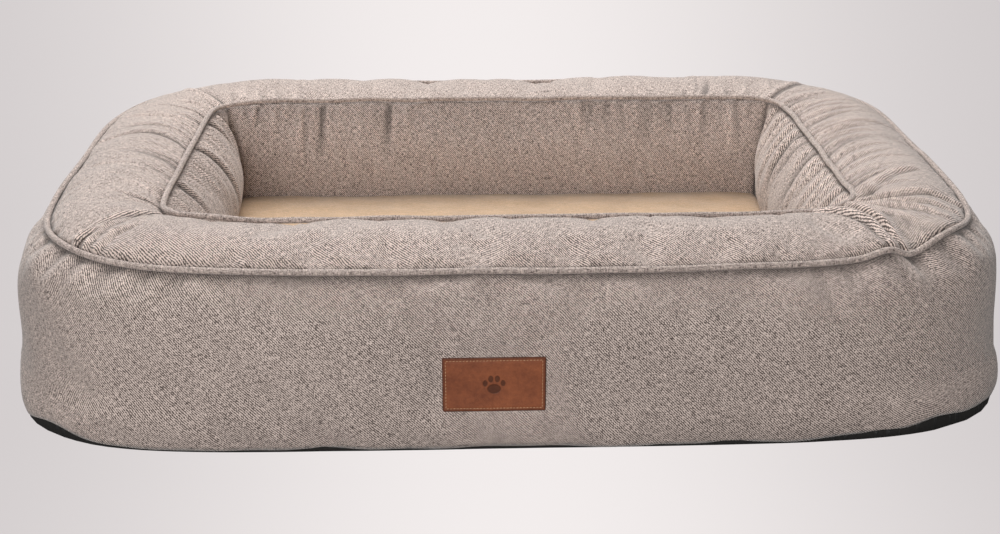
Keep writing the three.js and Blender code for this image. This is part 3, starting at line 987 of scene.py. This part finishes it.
def color_setting(name, description, default):
    return FloatVectorProperty(
        name=name, description=description, subtype="COLOR", size=3, min=0, max=1, default=default
    )


def length_setting(name, description, default):
    return FloatProperty(
        name=name, description=description, subtype="DISTANCE", unit="LENGTH", default=default
    )


def place_setting(name, description, default):
    return FloatVectorProperty(
        name=name, description=description, subtype="TRANSLATION", unit="LENGTH", size=3, default=default
    )


def angle_setting(name, description, degrees):
    return FloatProperty(
        name=name, description=description, subtype="ANGLE", default=math.radians(degrees)
    )


def number_setting(name, description, default):
    return FloatProperty(name=name, description=description, default=default)


class CoverSettings(bpy.types.PropertyGroup):
    seam_dip: length_setting("Seam dip", "How far the cloth sinks at its piped seams", 0.0034)
    light_yarn: color_setting("Light yarn", "Lightest yarn of the twill", (0.71, 0.592, 0.536))
    dark_yarn: color_setting("Dark yarn", "Darkest yarn of the twill", (0.085, 0.064, 0.056))
    rib: length_setting("Rib", "Distance between the diagonal ribs, along the seam", 0.0027)
    contrast: number_setting("Contrast", "How strongly light and dark yarns differ", 3.8)
    wrinkles: number_setting("Wrinkles", "Strength of gathers and creases", 1.0)
    pressure: number_setting("Pressure", "How hard the filling presses outwards", 3.0)
    fill_gap: length_setting("Fill gap", "Room between the cover cloth and its filling", 0.016)
    piping_stand: length_setting("Piping stand", "How far the cord's middle stands off its seam", 0.0003)
    piping_rise: length_setting("Piping rise", "How much higher than its seam the inner cord stands", 0.0034)
    piping_shade: number_setting("Piping shade", "Brightness of the piping's cloth", 1.0)
    stiffness: number_setting("Stiffness", "How much the cloth resists folding", 0.3)
    ease: number_setting("Ease", "Spare cloth in the panels, as a share", 0.018)
    most_puff: length_setting("Most puff", "How far the cloth may move when puffed up", 0.007)


class BaseSettings(bpy.types.PropertyGroup):
    cloth: color_setting("Cloth", "Colour of the base cloth", (0.006, 0.0055, 0.005))
    rubber: color_setting("Rubber", "Colour of the grip dots", (0.014, 0.014, 0.014))
    dot_pitch: length_setting("Dot pitch", "Distance between the grip dots", 0.012)


class MattressSettings(bpy.types.PropertyGroup):
    light_pile: color_setting("Light pile", "Lightest colour of the plush", (0.67, 0.465, 0.295))
    dark_pile: color_setting("Dark pile", "Darkest colour of the plush", (0.36, 0.245, 0.148))
    half_length: length_setting("Half length", "Half of the mattress, tucked under the side walls", 0.3270)
    half_depth: length_setting("Half depth", "Half of the mattress, from front to back", 0.2030)
    crown: length_setting("Crown", "How much the middle stands above the edge", 0.003)
    edge: length_setting("Edge", "Radius of the rounded upper edge", 0.007)


class LabelSettings(bpy.types.PropertyGroup):
    light_hide: color_setting("Light hide", "Lightest colour of the leather", (0.34, 0.105, 0.042))
    dark_hide: color_setting("Dark hide", "Darkest colour of the leather", (0.165, 0.046, 0.020))
    light_thread: color_setting("Light thread", "Lightest colour of the stitching", (0.78, 0.50, 0.28))
    dark_thread: color_setting("Dark thread", "Darkest colour of the stitching", (0.46, 0.26, 0.13))
    stitch: length_setting("Stitch", "Length of a stitch with its gap", 0.0031)
    stitch_inset: length_setting("Stitch inset", "Distance of the stitching from the edge", 0.0031)


class ZipSettings(bpy.types.PropertyGroup):
    light_tape: color_setting("Light tape", "Lightest colour of the tapes", (0.26, 0.21, 0.185))
    dark_tape: color_setting("Dark tape", "Darkest colour of the tapes", (0.12, 0.095, 0.082))
    light_coil: color_setting("Light coil", "Lightest colour of the teeth", (0.20, 0.165, 0.145))
    dark_coil: color_setting("Dark coil", "Darkest colour of the teeth", (0.10, 0.08, 0.07))
    light_metal: color_setting("Light metal", "Colour of the metal's worn edges", (0.42, 0.40, 0.38))
    dark_metal: color_setting("Dark metal", "Colour of the metal's hollows", (0.20, 0.19, 0.18))
    coil_pitch: length_setting("Coil pitch", "Distance between the cover zip's teeth", 0.0016)


class StageSettings(bpy.types.PropertyGroup):
    # The floor's colours are a painted pool of light, bright along the middle and darker to both sides, and
    # the camera sees them as a glow.
    floor: color_setting("Floor", "Colour of the floor's bright middle", (0.945, 0.898, 0.892))
    painted_floor_edge: color_setting("Floor edge", "Colour of the floor to both sides", (0.640, 0.603, 0.607))
    floor_glow: number_setting("Floor glow", "Share of the floor's look that casts no shadow", 0.93)
    floor_mat: color_setting("Floor mat", "Colour of the floor under its lit look", (0.20, 0.19, 0.19))
    sky: color_setting("Sky", "Colour of the light from all round", (1.0, 0.985, 0.975))
    sky_strength: number_setting("Sky strength", "Strength of that light", 0.26)
    light: number_setting("Light", "Power of the overhead softbox", 58.0)
    light_place: place_setting("Light place", "Place of the overhead softbox", (-0.20, 0.95, 2.1))
    front_light: number_setting("Front light", "Power of the front softbox", 64.0)
    camera: place_setting("Camera", "Place of the camera", (-0.0578, -1.5490, 0.6791))
    focal_length: number_setting("Focal length", "Lens in millimetres", 52.54)
    pitch: angle_setting("Pitch", "How far the camera looks down", 22.46)
    heading: angle_setting("Heading", "How far the camera looks to the right", 1.95)


# ----------------------------------------
# Helpers for the pieces
# ----------------------------------------


def square_grid(half_x, half_y, power, count_x, count_y):
    """A grid that fills a superellipse, finer towards its edge, and how far out each point lies, 0 to 1."""
    u = np.sin(np.linspace(-1, 1, count_x) * math.pi / 2)
    v = np.sin(np.linspace(-1, 1, count_y) * math.pi / 2)
    u, v = np.meshgrid(u, v)
    out = np.maximum(np.abs(u), np.abs(v))
    size = (np.abs(u) ** power + np.abs(v) ** power) ** (1 / power)
    pull = np.divide(out, size, out=np.ones_like(out), where=size > 1e-9)
    return half_x * u * pull, half_y * v * pull, out


def loft(half_x, half_y, roundness, sections):
    """Rings of one outline. Each section is (inset, height)."""
    return np.array([outline(half_x - inset, half_y - inset, roundness, z) for inset, z in sections])


def closed_loft(name, rings, material, body, nodes):
    """A solid from rings, with both ends closed by faces that fan in to a middle point."""
    caps = []
    for ring in (rings[0], rings[-1]):
        middle = ring.mean(axis=0)
        caps.append(np.array([middle + (ring - middle) * share for share in (0.66, 0.33, 0.0)]))
    grid = np.concatenate([caps[0][::-1], rings, caps[1]])
    mesh = grid_mesh(name, grid, wrap=True, uv=grid[:, :, :2])
    weld(mesh)
    piece = new_piece(name, mesh, material, body, nodes)
    select_only(piece)
    bpy.ops.object.shade_smooth_by_angle(angle=math.radians(40))
    return piece


def select_only(obj):
    bpy.ops.object.select_all(action="DESELECT")
    obj.select_set(True)
    bpy.context.view_layer.objects.active = obj


def settle_in_mesh(obj):
    """Applies the modifiers, and puts the object's place into its mesh."""
    select_only(obj)
    for modifier in list(obj.modifiers):
        bpy.ops.object.modifier_apply(modifier=modifier.name)
    bpy.ops.object.transform_apply(location=True, rotation=True, scale=True)
    return obj


def surface_depth(grid, x, z):
    """How far forward the front wall's cloth lies at places on it."""
    stations = span(FRONT)
    wall = grid_mesh("probe", grid[: OUTER_ROW + 1][:, stations])
    tree = BVHTree.FromPolygons([v.co for v in wall.vertices], [p.vertices for p in wall.polygons])
    found = []
    for px, pz in zip(x.ravel(), z.ravel()):
        spot = tree.ray_cast(Vector((px, -HALF_Y - 0.2, pz)), Vector((0, 1, 0)))[0]
        found.append(spot.y)
    bpy.data.meshes.remove(wall)
    return np.array(found).reshape(x.shape)


def rounded_label(count_x, count_z, corner=0.0016):
    """Places on the label, in metres from its middle, with barely rounded corners."""
    u = np.linspace(-1, 1, count_x) * LABEL_WIDTH / 2
    v = np.linspace(-1, 1, count_z) * LABEL_HEIGHT / 2
    x, z = np.meshgrid(u, v)
    over_x = (np.abs(x) - (LABEL_WIDTH / 2 - corner)).clip(0)
    over_z = (np.abs(z) - (LABEL_HEIGHT / 2 - corner)).clip(0)
    both = (over_x > 0) & (over_z > 0)
    size = np.where(both, np.hypot(over_x, over_z), corner)
    shrink = np.where(size > corner, corner / np.maximum(size, 1e-9), 1.0)
    x = np.where(both, np.sign(x) * (LABEL_WIDTH / 2 - corner + over_x * shrink), x)
    z = np.where(both, np.sign(z) * (LABEL_HEIGHT / 2 - corner + over_z * shrink), z)
    return x, z


# ----------------------------------------
# Operators
# ----------------------------------------


class BED_OT_cover(bpy.types.Operator):
    """Make the cover's walls, top panels and well from one puffed-up grid of cloth"""

    bl_idname = "bed.cover"
    bl_label = "Cover"

    def execute(self, context):
        settings = context.scene.bed_cover
        grid = wrinkled_cover(settings)
        grid = settle(grid, settings)
        Cover.grid = grid
        Cover.cloth = twill("cover_twill", settings)
        wall_rows = (0, OUTER_ROW)
        panel("wall_cloth", grid, wall_rows, span(LEFT, 3), Cover.cloth, ["outer_wall"])
        panel("wall_cloth_back", grid, wall_rows, span(BACK), Cover.cloth, ["outer_wall_back"],
              hole=zip_opening)
        for side, word in SIDE_NAMES.items():
            for name, node, rows, fill in (
                ("top_cloth", "top_panel", (OUTER_ROW, INNER_ROW), 0.85),
                ("well_cloth", "inner_wall", (INNER_ROW, LAST_ROW), 0.8),
            ):
                nodes = [f"{node}_{word}"]
                panel(f"{name}_{word}", grid, rows, span(side), Cover.cloth, nodes, planar=True)
        return {"FINISHED"}


def zip_opening(middles):
    """Which quads of the back wall lie in the zip's opening."""
    level = np.abs(middles[:, 2] - ZIP_CENTRE_Z) < ZIP_SLOT_HALF
    return level & (np.abs(middles[:, 0]) < ZIP_SLOT_END - 0.004)


class BED_OT_piping(bpy.types.Operator):
    """Sew the corded piping along both seams"""

    bl_idname = "bed.piping"
    bl_label = "Piping"

    def execute(self, context):
        settings = context.scene.bed_cover
        cloth = twill("piping_twill", settings, twist=-2.6, shade=settings.piping_shade)
        up = normals(smooth_cover())
        for name, row in (("outer_piping", OUTER_ROW), ("inner_piping", INNER_ROW)):
            lift = up[row]
            path = Cover.grid[row] + lift * (settings.seam_dip + settings.piping_stand)
            path[:, 2] += settings.piping_rise * (row == INNER_ROW)
            path = smooth_loop(path)
            tube(f"{name}_cord", path, lift, PIPING_RADIUS, cloth, "cover", [name])
        return {"FINISHED"}


def smooth_loop(path, passes=3):
    for _ in range(passes):
        path = (np.roll(path, 1, 0) + 2 * path + np.roll(path, -1, 0)) / 4
    return path


class BED_OT_fillings(bpy.types.Operator):
    """Make the four fibre-filled cores of the border"""

    bl_idname = "bed.fillings"
    bl_label = "Fillings"

    def execute(self, context):
        wool = fibre("fibre_fill", (0.90, 0.89, 0.87), (0.62, 0.61, 0.59))
        grid = smooth_cover()
        inner = grid - normals(grid) * context.scene.bed_cover.fill_gap
        inner[:, :, 2] = inner[:, :, 2].clip(0.0045)
        for side, word in SIDE_NAMES.items():
            stations = span(side)[2:-2:4]
            rings = inner[1:-1:3][:, stations].transpose(1, 0, 2)[::-1]
            node = f"bolster_fill_{word}"
            closed_loft(f"fill_{word}", rings, wool, "cover", [node])
        return {"FINISHED"}


class BED_OT_base(bpy.types.Operator):
    """Make the black anti-slip cloth under the bed, with its edge turned up behind the hem"""

    bl_idname = "bed.base"
    bl_label = "Base cloth"

    def execute(self, context):
        cloth = grip_cloth("base_cloth", context.scene.bed_base)
        hem = Cover.grid[0]
        up = np.maximum(hem[:, 2] - 0.002, 0.0005)
        # Each ring's inset, its share of the hem's rise, and its height.
        sections = [
            (0.0074, 1.0, 0.0045),
            (0.0064, 0.60, 0.0025),
            (0.0062, 0.15, 0.0012),
            (0.0085, 0.0, 0.0006),
        ]
        rings = []
        for inset, share, height in sections:
            ring = outline(HALF_X - inset, HALF_Y - inset, WALL_KEYS[0][1], height, SKEWED_MITRE)
            ring[:, 2] += up * share
            rings.append(ring)
        for share in (0.985, 0.93, 0.8, 0.6, 0.4, 0.2, 0.0):
            ring = rings[3].copy()
            ring[:, :2] *= share
            ring[:, 2] = 0.0006
            rings.append(ring)
        grid = np.array(rings)[::-1, ::4]
        mesh = grid_mesh("base_underlay", grid, wrap=True, uv=grid[:, :, :2])
        weld(mesh)
        mesh.flip_normals()
        piece = new_piece("base_underlay", mesh, cloth, "cover", ["base_panel"])
        refine(piece, 0, 0.0005)
        return {"FINISHED"}


def grip_cloth(name, settings):
    """Black woven cloth with a field of small rubber grip dots."""
    shader = Shader(name)
    spot = shader.coordinates(uv=False)
    x, y, _ = shader.parts(spot)
    turns = 2 * math.pi / settings.dot_pitch
    dots = ((x * turns).sine() * (y * turns).sine()).ramp(0.45, 0.6)
    weave = (x * 5200).sine() * (y * 5200).sine()
    grain = shader.noise(spot, (600, 600, 600), detail=2.0)
    cloth = shader.mix(grain.ramp(0.3, 0.7), settings.cloth, [c * 2.2 for c in settings.cloth])
    color = shader.mix(dots, cloth, settings.rubber)
    normal = shader.bump(weave * 0.2 + grain * 0.4 + dots * 2, 0.0004, 0.8)
    return shader.finish(color, dots * -0.35 + 0.9, normal)


class BED_OT_mattress(bpy.types.Operator):
    """Make the mattress: plush top, side band, underside and the two foam layers"""

    bl_idname = "bed.mattress"
    bl_label = "Mattress"

    def execute(self, context):
        settings = context.scene.bed_mattress
        a, b, edge = settings.half_length, settings.half_depth, settings.edge
        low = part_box("mattress_bottom")[0].z
        pile = plush("plush", settings)
        cloth = plain_weave("mattress_cloth", (0.60, 0.44, 0.31), (0.36, 0.26, 0.18))

        x, y, out = square_grid(a, b, 40, 150, 100)
        from_edge = (1 - out) * b
        drop = edge * (1 - np.sqrt(1 - (1 - (from_edge / edge).clip(0, 1)) ** 2))
        z = MATTRESS_Z - 0.0005 + settings.crown * (1 - out**2) - drop
        z += 0.0007 * waves(x, y, 61, 0.09, 0.3) + 0.0004 * waves(x, y, 62, 0.02, 0.06)
        top = np.stack([x, y, z], axis=2)
        mesh = grid_mesh("mattress_plush", top, uv=top[:, :, :2])
        piece = new_piece("mattress_plush", mesh, pile, "mattress", ["mattress_top"])
        refine(piece, 1, 0.0)

        rim = MATTRESS_Z - 0.0005 - edge
        # The side is drawn in around its zip, and swells out under the plush.
        drawn_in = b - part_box("mattress_band")[1].y
        sections = [
            (drawn_in + 0.004, low + 0.001),
            (drawn_in + 0.001, low + 0.006),
            (drawn_in, low + 0.013),
            (drawn_in, low + 0.032),
            (0.5 * drawn_in, low + 0.040),
            (0.0008, rim - 0.003),
            (0.0, rim + 0.0005),
        ]
        ring = mattress_rings(a, b, sections)
        along = lengths(ring, 1)
        uv = np.stack([along, lengths(ring, 0)], axis=2)
        band = grid_mesh("mattress_side", ring, uv=uv, hole=mattress_opening)
        piece = new_piece("mattress_side", band, cloth, "mattress", ["mattress_band"])
        refine(piece, 0, 0.0008)

        x, y, out = square_grid(a - 0.35 * (drawn_in + 0.004), b - drawn_in - 0.004, 40, 60, 40)
        under = np.stack([x, y, np.full(x.shape, low + 0.001)], axis=2)
        mesh = grid_mesh("mattress_underside", under[:, ::-1], uv=under[:, ::-1, :2])
        new_piece("mattress_underside", mesh, cloth, "mattress", ["mattress_bottom"])

        base = foam("support_foam", (0.86, 0.78, 0.58), (0.60, 0.50, 0.32), 0.0018)
        memory = foam("memory_foam", (0.66, 0.77, 0.85), (0.42, 0.53, 0.62), 0.0011)
        for node, name, stuff, slot in (
            ("mattress_foam_base", "foam_base", base, "support_foam"),
            ("mattress_memory_foam", "foam_memory", memory, "memory_foam"),
        ):
            block_low, block_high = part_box(node)
            half_x, half_y = min(block_high.x, a - 0.007), block_high.y
            soft = 0.003
            rounding = [(soft, 0), (0.3 * soft, 0.3 * soft), (0, soft)]
            sections = [(inset, block_low.z + rise) for inset, rise in rounding]
            sections.append((0.0004, (block_low.z + block_high.z) / 2))
            sections += [(inset, block_high.z - rise) for inset, rise in reversed(rounding)]
            rings = loft(half_x, half_y, 1 / 9, sections)[:, ::4]
            closed_loft(name, rings, stuff, "mattress", [node])
        return {"FINISHED"}


def mattress_rings(half_x, half_y, sections):
    """The mattress's side as rings that follow the same outline as its top."""
    x, y, _ = square_grid(half_x, half_y, 40, 150, 100)
    path = np.concatenate([
        np.stack([x[0], y[0]], 1), np.stack([x[1:, -1], y[1:, -1]], 1),
        np.stack([x[-1, -2::-1], y[-1, -2::-1]], 1), np.stack([x[-2::-1, 0], y[-2::-1, 0]], 1),
    ])
    rings = []
    for inset, height in sections:
        shrink = [1 - 0.35 * inset / half_x, 1 - inset / half_y]
        rings.append(np.column_stack([path * shrink, np.full(len(path), height)]))
    rings = np.array(rings)
    levels = np.array([height for _, height in sections])
    # Rows follow the edges of the zip's opening.
    for wanted in MATTRESS_SLOT:
        share = np.interp(wanted, levels, np.arange(len(levels)))
        low = int(share)
        extra = rings[low] * (1 - share + low) + rings[low + 1] * (share - low)
        rings = np.insert(rings, low + 1, extra, axis=0)
        levels = np.insert(levels, low + 1, wanted)
    return rings


MATTRESS_ZIP_Z = (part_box("mattress_zip_tape_upper")[1].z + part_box("mattress_zip_tape_lower")[0].z) / 2
MATTRESS_SLOT = (MATTRESS_ZIP_Z - 0.006, MATTRESS_ZIP_Z + 0.006)
MATTRESS_SLOT_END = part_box("mattress_zip_top_stop")[1].x + 0.002


def mattress_opening(middles):
    level = (middles[:, 2] > MATTRESS_SLOT[0]) & (middles[:, 2] < MATTRESS_SLOT[1])
    return level & (np.abs(middles[:, 0]) < MATTRESS_SLOT_END - 0.004) & (middles[:, 1] > 0.1)


class BED_OT_label(bpy.types.Operator):
    """Make the leather label with its stitching"""

    bl_idname = "bed.label"
    bl_label = "Leather label"

    def execute(self, context):
        settings = context.scene.bed_label
        x, z = rounded_label(65, 41)
        cloth_y = surface_depth(Cover.grid, x + LABEL_X, z + LABEL_Z)
        edge = np.minimum(LABEL_WIDTH / 2 - np.abs(x), LABEL_HEIGHT / 2 - np.abs(z))
        # The edge is worn down, and the stitching pulls a shallow channel into the leather.
        worn = 0.0006 * np.exp(-edge / 0.0008)
        channel = 0.0005 * bump_at(edge - settings.stitch_inset, 0.0009)
        y = cloth_y - (0.0017 - worn - channel)
        grid = np.stack([x + LABEL_X, y, z + LABEL_Z], axis=2)
        uv = np.stack([x / LABEL_WIDTH + 0.5, z / LABEL_HEIGHT + 0.5], axis=2)
        hide = leather("label_leather", settings)
        piece = new_piece("leather_label", grid_mesh("leather_label", grid, uv=uv), hide, "cover",
                          ["label_patch"])
        refine(piece, 1, 0.0014)
        self.stitches(settings)
        return {"FINISHED"}

    def stitches(self, settings):
        half_x = LABEL_WIDTH / 2 - settings.stitch_inset
        half_z = LABEL_HEIGHT / 2 - settings.stitch_inset
        spots = []
        for start, end in (
            ((-half_x, -half_z), (half_x, -half_z)), ((half_x, -half_z), (half_x, half_z)),
            ((half_x, half_z), (-half_x, half_z)), ((-half_x, half_z), (-half_x, -half_z)),
        ):
            start, end = np.array(start), np.array(end)
            count = round(np.linalg.norm(end - start) / settings.stitch)
            for i in range(count):
                spots.append((start + (end - start) * (i + 0.5) / count, end - start))
        middles = np.array([middle for middle, _ in spots])
        depths = surface_depth(Cover.grid, middles[:, 0] + LABEL_X, middles[:, 1] + LABEL_Z)
        made = []
        for (middle, along), depth in zip(spots, depths):
            lean = 0.10 if abs(along[0]) > 0 else -0.10
            made.append(self.stitch((middle[0] + LABEL_X, depth - 0.00155, middle[1] + LABEL_Z),
                                    math.atan2(along[1], along[0]) + lean, settings.stitch * 0.74))
        bpy.ops.object.select_all(action="DESELECT")
        for obj in made:
            obj.select_set(True)
        bpy.context.view_layer.objects.active = made[0]
        bpy.ops.object.join()
        piece = made[0]
        piece.name = "label_stitches"
        settle_in_mesh(piece)
        piece.data.materials.clear()
        piece.data.materials.append(thread("label_thread", settings.light_thread, settings.dark_thread))
        place_piece(piece, "cover", ["label_stitching"])

    def stitch(self, place, turn, length):
        """One stitch: a short thread that dives into the leather at both ends."""
        bpy.ops.object.select_all(action="DESELECT")
        bpy.ops.mesh.primitive_uv_sphere_add(segments=8, ring_count=5, radius=0.5, location=place,
                                             rotation=(0, -turn, 0))
        obj = bpy.context.object
        obj.scale = (length, 0.00062, 0.00062)
        bpy.ops.object.shade_smooth()
        return obj


class BED_OT_zips(bpy.types.Operator):
    """Make both zips: woven tapes, rows of coil teeth and the finish of the metal"""

    bl_idname = "bed.zips"
    bl_label = "Zips"

    def execute(self, context):
        settings = context.scene.bed_zips
        tape_cloth = plain_weave("zip_tape", settings.light_tape, settings.dark_tape, 0.0007, 0.1)
        coil = moulded("zip_coil", settings.light_coil, settings.dark_coil, 0.42)
        metal = moulded("zip_metal", settings.light_metal, settings.dark_metal, 0.38, 700.0, 0.85)
        for prefix, body, wall, pitch in (
            ("cover_zip", "cover", "wall_cloth_back", settings.coil_pitch),
            ("mattress_zip", "mattress", "mattress_side", settings.coil_pitch * 0.8),
        ):
            for level, up in (("upper", 1), ("lower", -1)):
                self.tape(prefix, level, body, wall, tape_cloth)
                self.teeth(prefix, level, up, body, pitch, coil)
            for part in ("top_stop", "bottom_stop", "slider", "pull"):
                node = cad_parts.get(f"{prefix}_{part}")
                if node:
                    node.data.materials.clear()
                    node.data.materials.append(metal)
        return {"FINISHED"}

    def tape(self, prefix, level, body, wall, cloth):
        """A woven tape with a raised rib beside the teeth."""
        low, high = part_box(f"{prefix}_tape_{level}")
        x = np.linspace(low.x - 0.006, high.x + 0.006, 160)
        z = np.linspace(low.z - 0.0005, high.z + 0.0005, 9)
        x, z = np.meshgrid(x, z)
        y = high.y - 0.0001 - 0.00012 * (np.sin(z * 2 * math.pi / 0.003) + 1)
        grid = np.stack([x, y, z], axis=2)[:, ::-1]
        name = f"{prefix}_{level}_tape"
        piece = new_piece(name, grid_mesh(name, grid, uv=grid[:, :, ::2]), cloth, body,
                          [f"{prefix}_tape_{level}"])
        refine(piece, 0, 0.0004)

    def teeth(self, prefix, level, up, body, pitch, coil):
        """A row of coil: one tooth with a narrowed tip, repeated along the tape."""
        low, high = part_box(f"{prefix}_teeth_{level}")
        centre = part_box(f"{prefix}_slider")
        middle_z = (centre[0].z + centre[1].z) / 2
        reach = max(abs(high.z - middle_z), abs(low.z - middle_z))
        count = int((high.x - low.x - pitch) / pitch)
        start = low.x + pitch * (0.45 if up > 0 else 0.95)
        bpy.ops.object.select_all(action="DESELECT")
        root, tip = middle_z + up * reach, middle_z - up * 0.0004
        bpy.ops.mesh.primitive_cylinder_add(vertices=8, radius=pitch * 0.21, depth=abs(root - tip),
                                            location=(start, (low.y + high.y) / 2, (root + tip) / 2))
        tooth = bpy.context.object
        bpy.ops.object.transform_apply(location=True, rotation=True, scale=True)
        self.swell_tip(tooth, tip, up)
        row = tooth.modifiers.new("Array", "ARRAY")
        row.count = count
        row.use_relative_offset = False
        row.use_constant_offset = True
        row.constant_offset_displace = (pitch, 0, 0)
        settle_in_mesh(tooth)
        tooth.name = f"{prefix}_{level}_coil"
        bpy.ops.object.shade_smooth_by_angle(angle=math.radians(50))
        tooth.data.materials.clear()
        tooth.data.materials.append(coil)
        place_piece(tooth, body, [f"{prefix}_teeth_{level}"])

    def swell_tip(self, tooth, tip, up):
        """Insets and draws out the tip of the tooth, so that its head is rounded."""
        bpy.ops.object.mode_set(mode="EDIT")
        bpy.ops.mesh.select_all(action="DESELECT")
        bpy.ops.object.mode_set(mode="OBJECT")
        for face in tooth.data.polygons:
            face.select = face.normal.z * -up > 0.9
        bpy.ops.object.mode_set(mode="EDIT")
        bpy.ops.mesh.select_mode(type="FACE")
        bpy.ops.mesh.extrude_region_move(TRANSFORM_OT_translate={"value": (0, 0, -up * 0.0001)})
        bpy.ops.transform.resize(value=(0.7, 0.7, 1), center_override=face_middle(tooth, tip))
        bpy.ops.object.mode_set(mode="OBJECT")


def face_middle(obj, z):
    x = sum(v.co.x for v in obj.data.vertices) / len(obj.data.vertices)
    y = sum(v.co.y for v in obj.data.vertices) / len(obj.data.vertices)
    return (x, y, z)


class BED_OT_stage(bpy.types.Operator):
    """Make the pale floor, the soft lights and the camera"""

    bl_idname = "bed.stage"
    bl_label = "Stage"

    def execute(self, context):
        settings = context.scene.bed_stage
        bpy.ops.object.select_all(action="DESELECT")
        bpy.ops.mesh.primitive_plane_add(size=60, location=(0, 0, -0.0002))
        floor = bpy.context.object
        floor.name = "floor"
        floor.data.materials.append(self.paper(settings))

        world = bpy.data.worlds.new("studio")
        world.use_nodes = True
        sky = world.node_tree.nodes["Background"]
        sky.inputs["Color"].default_value = (*settings.sky, 1)
        sky.inputs["Strength"].default_value = settings.sky_strength
        context.scene.world = world
        context.scene.view_settings.view_transform = "Standard"
        context.scene.view_settings.look = "None"

        self.softbox("overhead", settings.light_place, (0.0, 0.0, 0.1), (1.5, 1.1), settings.light)
        self.softbox("front", (-0.8, -3.1, 1.2), (0.0, 0.0, 0.1), (1.6, 1.2), settings.front_light)
        camera = bpy.data.objects.new("camera", bpy.data.cameras.new("camera"))
        context.scene.collection.objects.link(camera)
        camera.location = settings.camera
        camera.rotation_euler = (math.pi / 2 - settings.pitch, 0, -settings.heading)
        camera.data.lens = settings.focal_length
        camera.data.sensor_width = 36
        camera.data.clip_start = 0.02
        context.scene.camera = camera
        return {"FINISHED"}

    def softbox(self, name, place, aim, size, power):
        light = bpy.data.lights.new(name, "AREA")
        light.shape = "RECTANGLE"
        light.size, light.size_y = size
        light.energy = power
        light.color = (1.0, 0.985, 0.97)
        lamp = bpy.data.objects.new(name, light)
        bpy.context.scene.collection.objects.link(lamp)
        lamp.location = place
        lamp.rotation_euler = (Vector(aim) - Vector(place)).to_track_quat("-Z", "Y").to_euler()

    def paper(self, settings):
        """Seamless paper with a painted pool of light, brightest along the middle, that glows for the camera,
        with only a faint shadow under the bed.
        """
        shader = Shader("paper")
        x, y, _ = shader.parts(shader.coordinates(uv=False))
        # Painted pool of light: the floor is painted darker to both sides of the middle, and the bright band
        # widens towards the back.
        depth = ((y + 0.6) * (y + 0.6) + 0.16).math("SQRT") + 1.0
        side = x / depth * 4.0
        painted_dimming = 1 - (side * side * -1.0).math("EXPONENT")
        grain = shader.noise(shader.scaled(shader.coordinates(uv=False), (40, 40, 40)))
        color = shader.mix(painted_dimming + (grain - 0.5) * 0.01, settings.floor, settings.painted_floor_edge)
        # Painted glow: camera rays see the painted colour as light, so the floor shows almost no shadow;
        # other rays meet a dark diffuse floor.
        painted_glow = shader.node("ShaderNodeEmission", {}, {"Color": color, "Strength": 1.0})
        mat = shader.node("ShaderNodeBsdfDiffuse", {}, {"Color": (*settings.floor_mat, 1)})
        rays = shader.node("ShaderNodeLightPath", {}, {})
        share = Value(shader, rays.outputs["Is Camera Ray"]) * settings.floor_glow
        surface = shader.node("ShaderNodeMixShader", {}, {0: share, 1: mat.outputs[0], 2: painted_glow.outputs[0]})
        shader.node("ShaderNodeOutputMaterial", {}, {"Surface": surface.outputs[0]})
        return shader.material


class BED_PT_panel(bpy.types.Panel):
    """Lists the pieces of the bed and their settings"""

    bl_label = "Pet Cushion Bed"
    bl_idname = "BED_PT_panel"
    bl_space_type = "VIEW_3D"
    bl_region_type = "UI"
    bl_category = "Pet Bed"

    def draw(self, context):
        for name, kind in SETTINGS.items():
            box = self.layout.box()
            box.label(text=kind.__name__.replace("Settings", ""))
            for prop in kind.__annotations__:
                box.prop(getattr(context.scene, name), prop)
        for operator in OPERATORS:
            self.layout.operator(operator.bl_idname)


SETTINGS = {
    "bed_cover": CoverSettings,
    "bed_base": BaseSettings,
    "bed_mattress": MattressSettings,
    "bed_label": LabelSettings,
    "bed_zips": ZipSettings,
    "bed_stage": StageSettings,
}
OPERATORS = [
    BED_OT_stage,
    BED_OT_cover,
    BED_OT_piping,
    BED_OT_fillings,
    BED_OT_base,
    BED_OT_mattress,
    BED_OT_label,
    BED_OT_zips,
]


def register():
    for kind in (*SETTINGS.values(), *OPERATORS, BED_PT_panel):
        bpy.utils.register_class(kind)
    for name, kind in SETTINGS.items():
        setattr(bpy.types.Scene, name, PointerProperty(type=kind))


def unregister():
    for name in SETTINGS:
        delattr(bpy.types.Scene, name)
    for kind in (BED_PT_panel, *reversed(OPERATORS), *reversed(SETTINGS.values())):
        bpy.utils.unregister_class(kind)


def main():
    register()
    bpy.ops.bed.stage()
    bpy.ops.bed.cover()
    bpy.ops.bed.piping()
    bpy.ops.bed.fillings()
    bpy.ops.bed.base()
    bpy.ops.bed.mattress()
    bpy.ops.bed.label()
    bpy.ops.bed.zips()


if __name__ == "__main__":
    main()
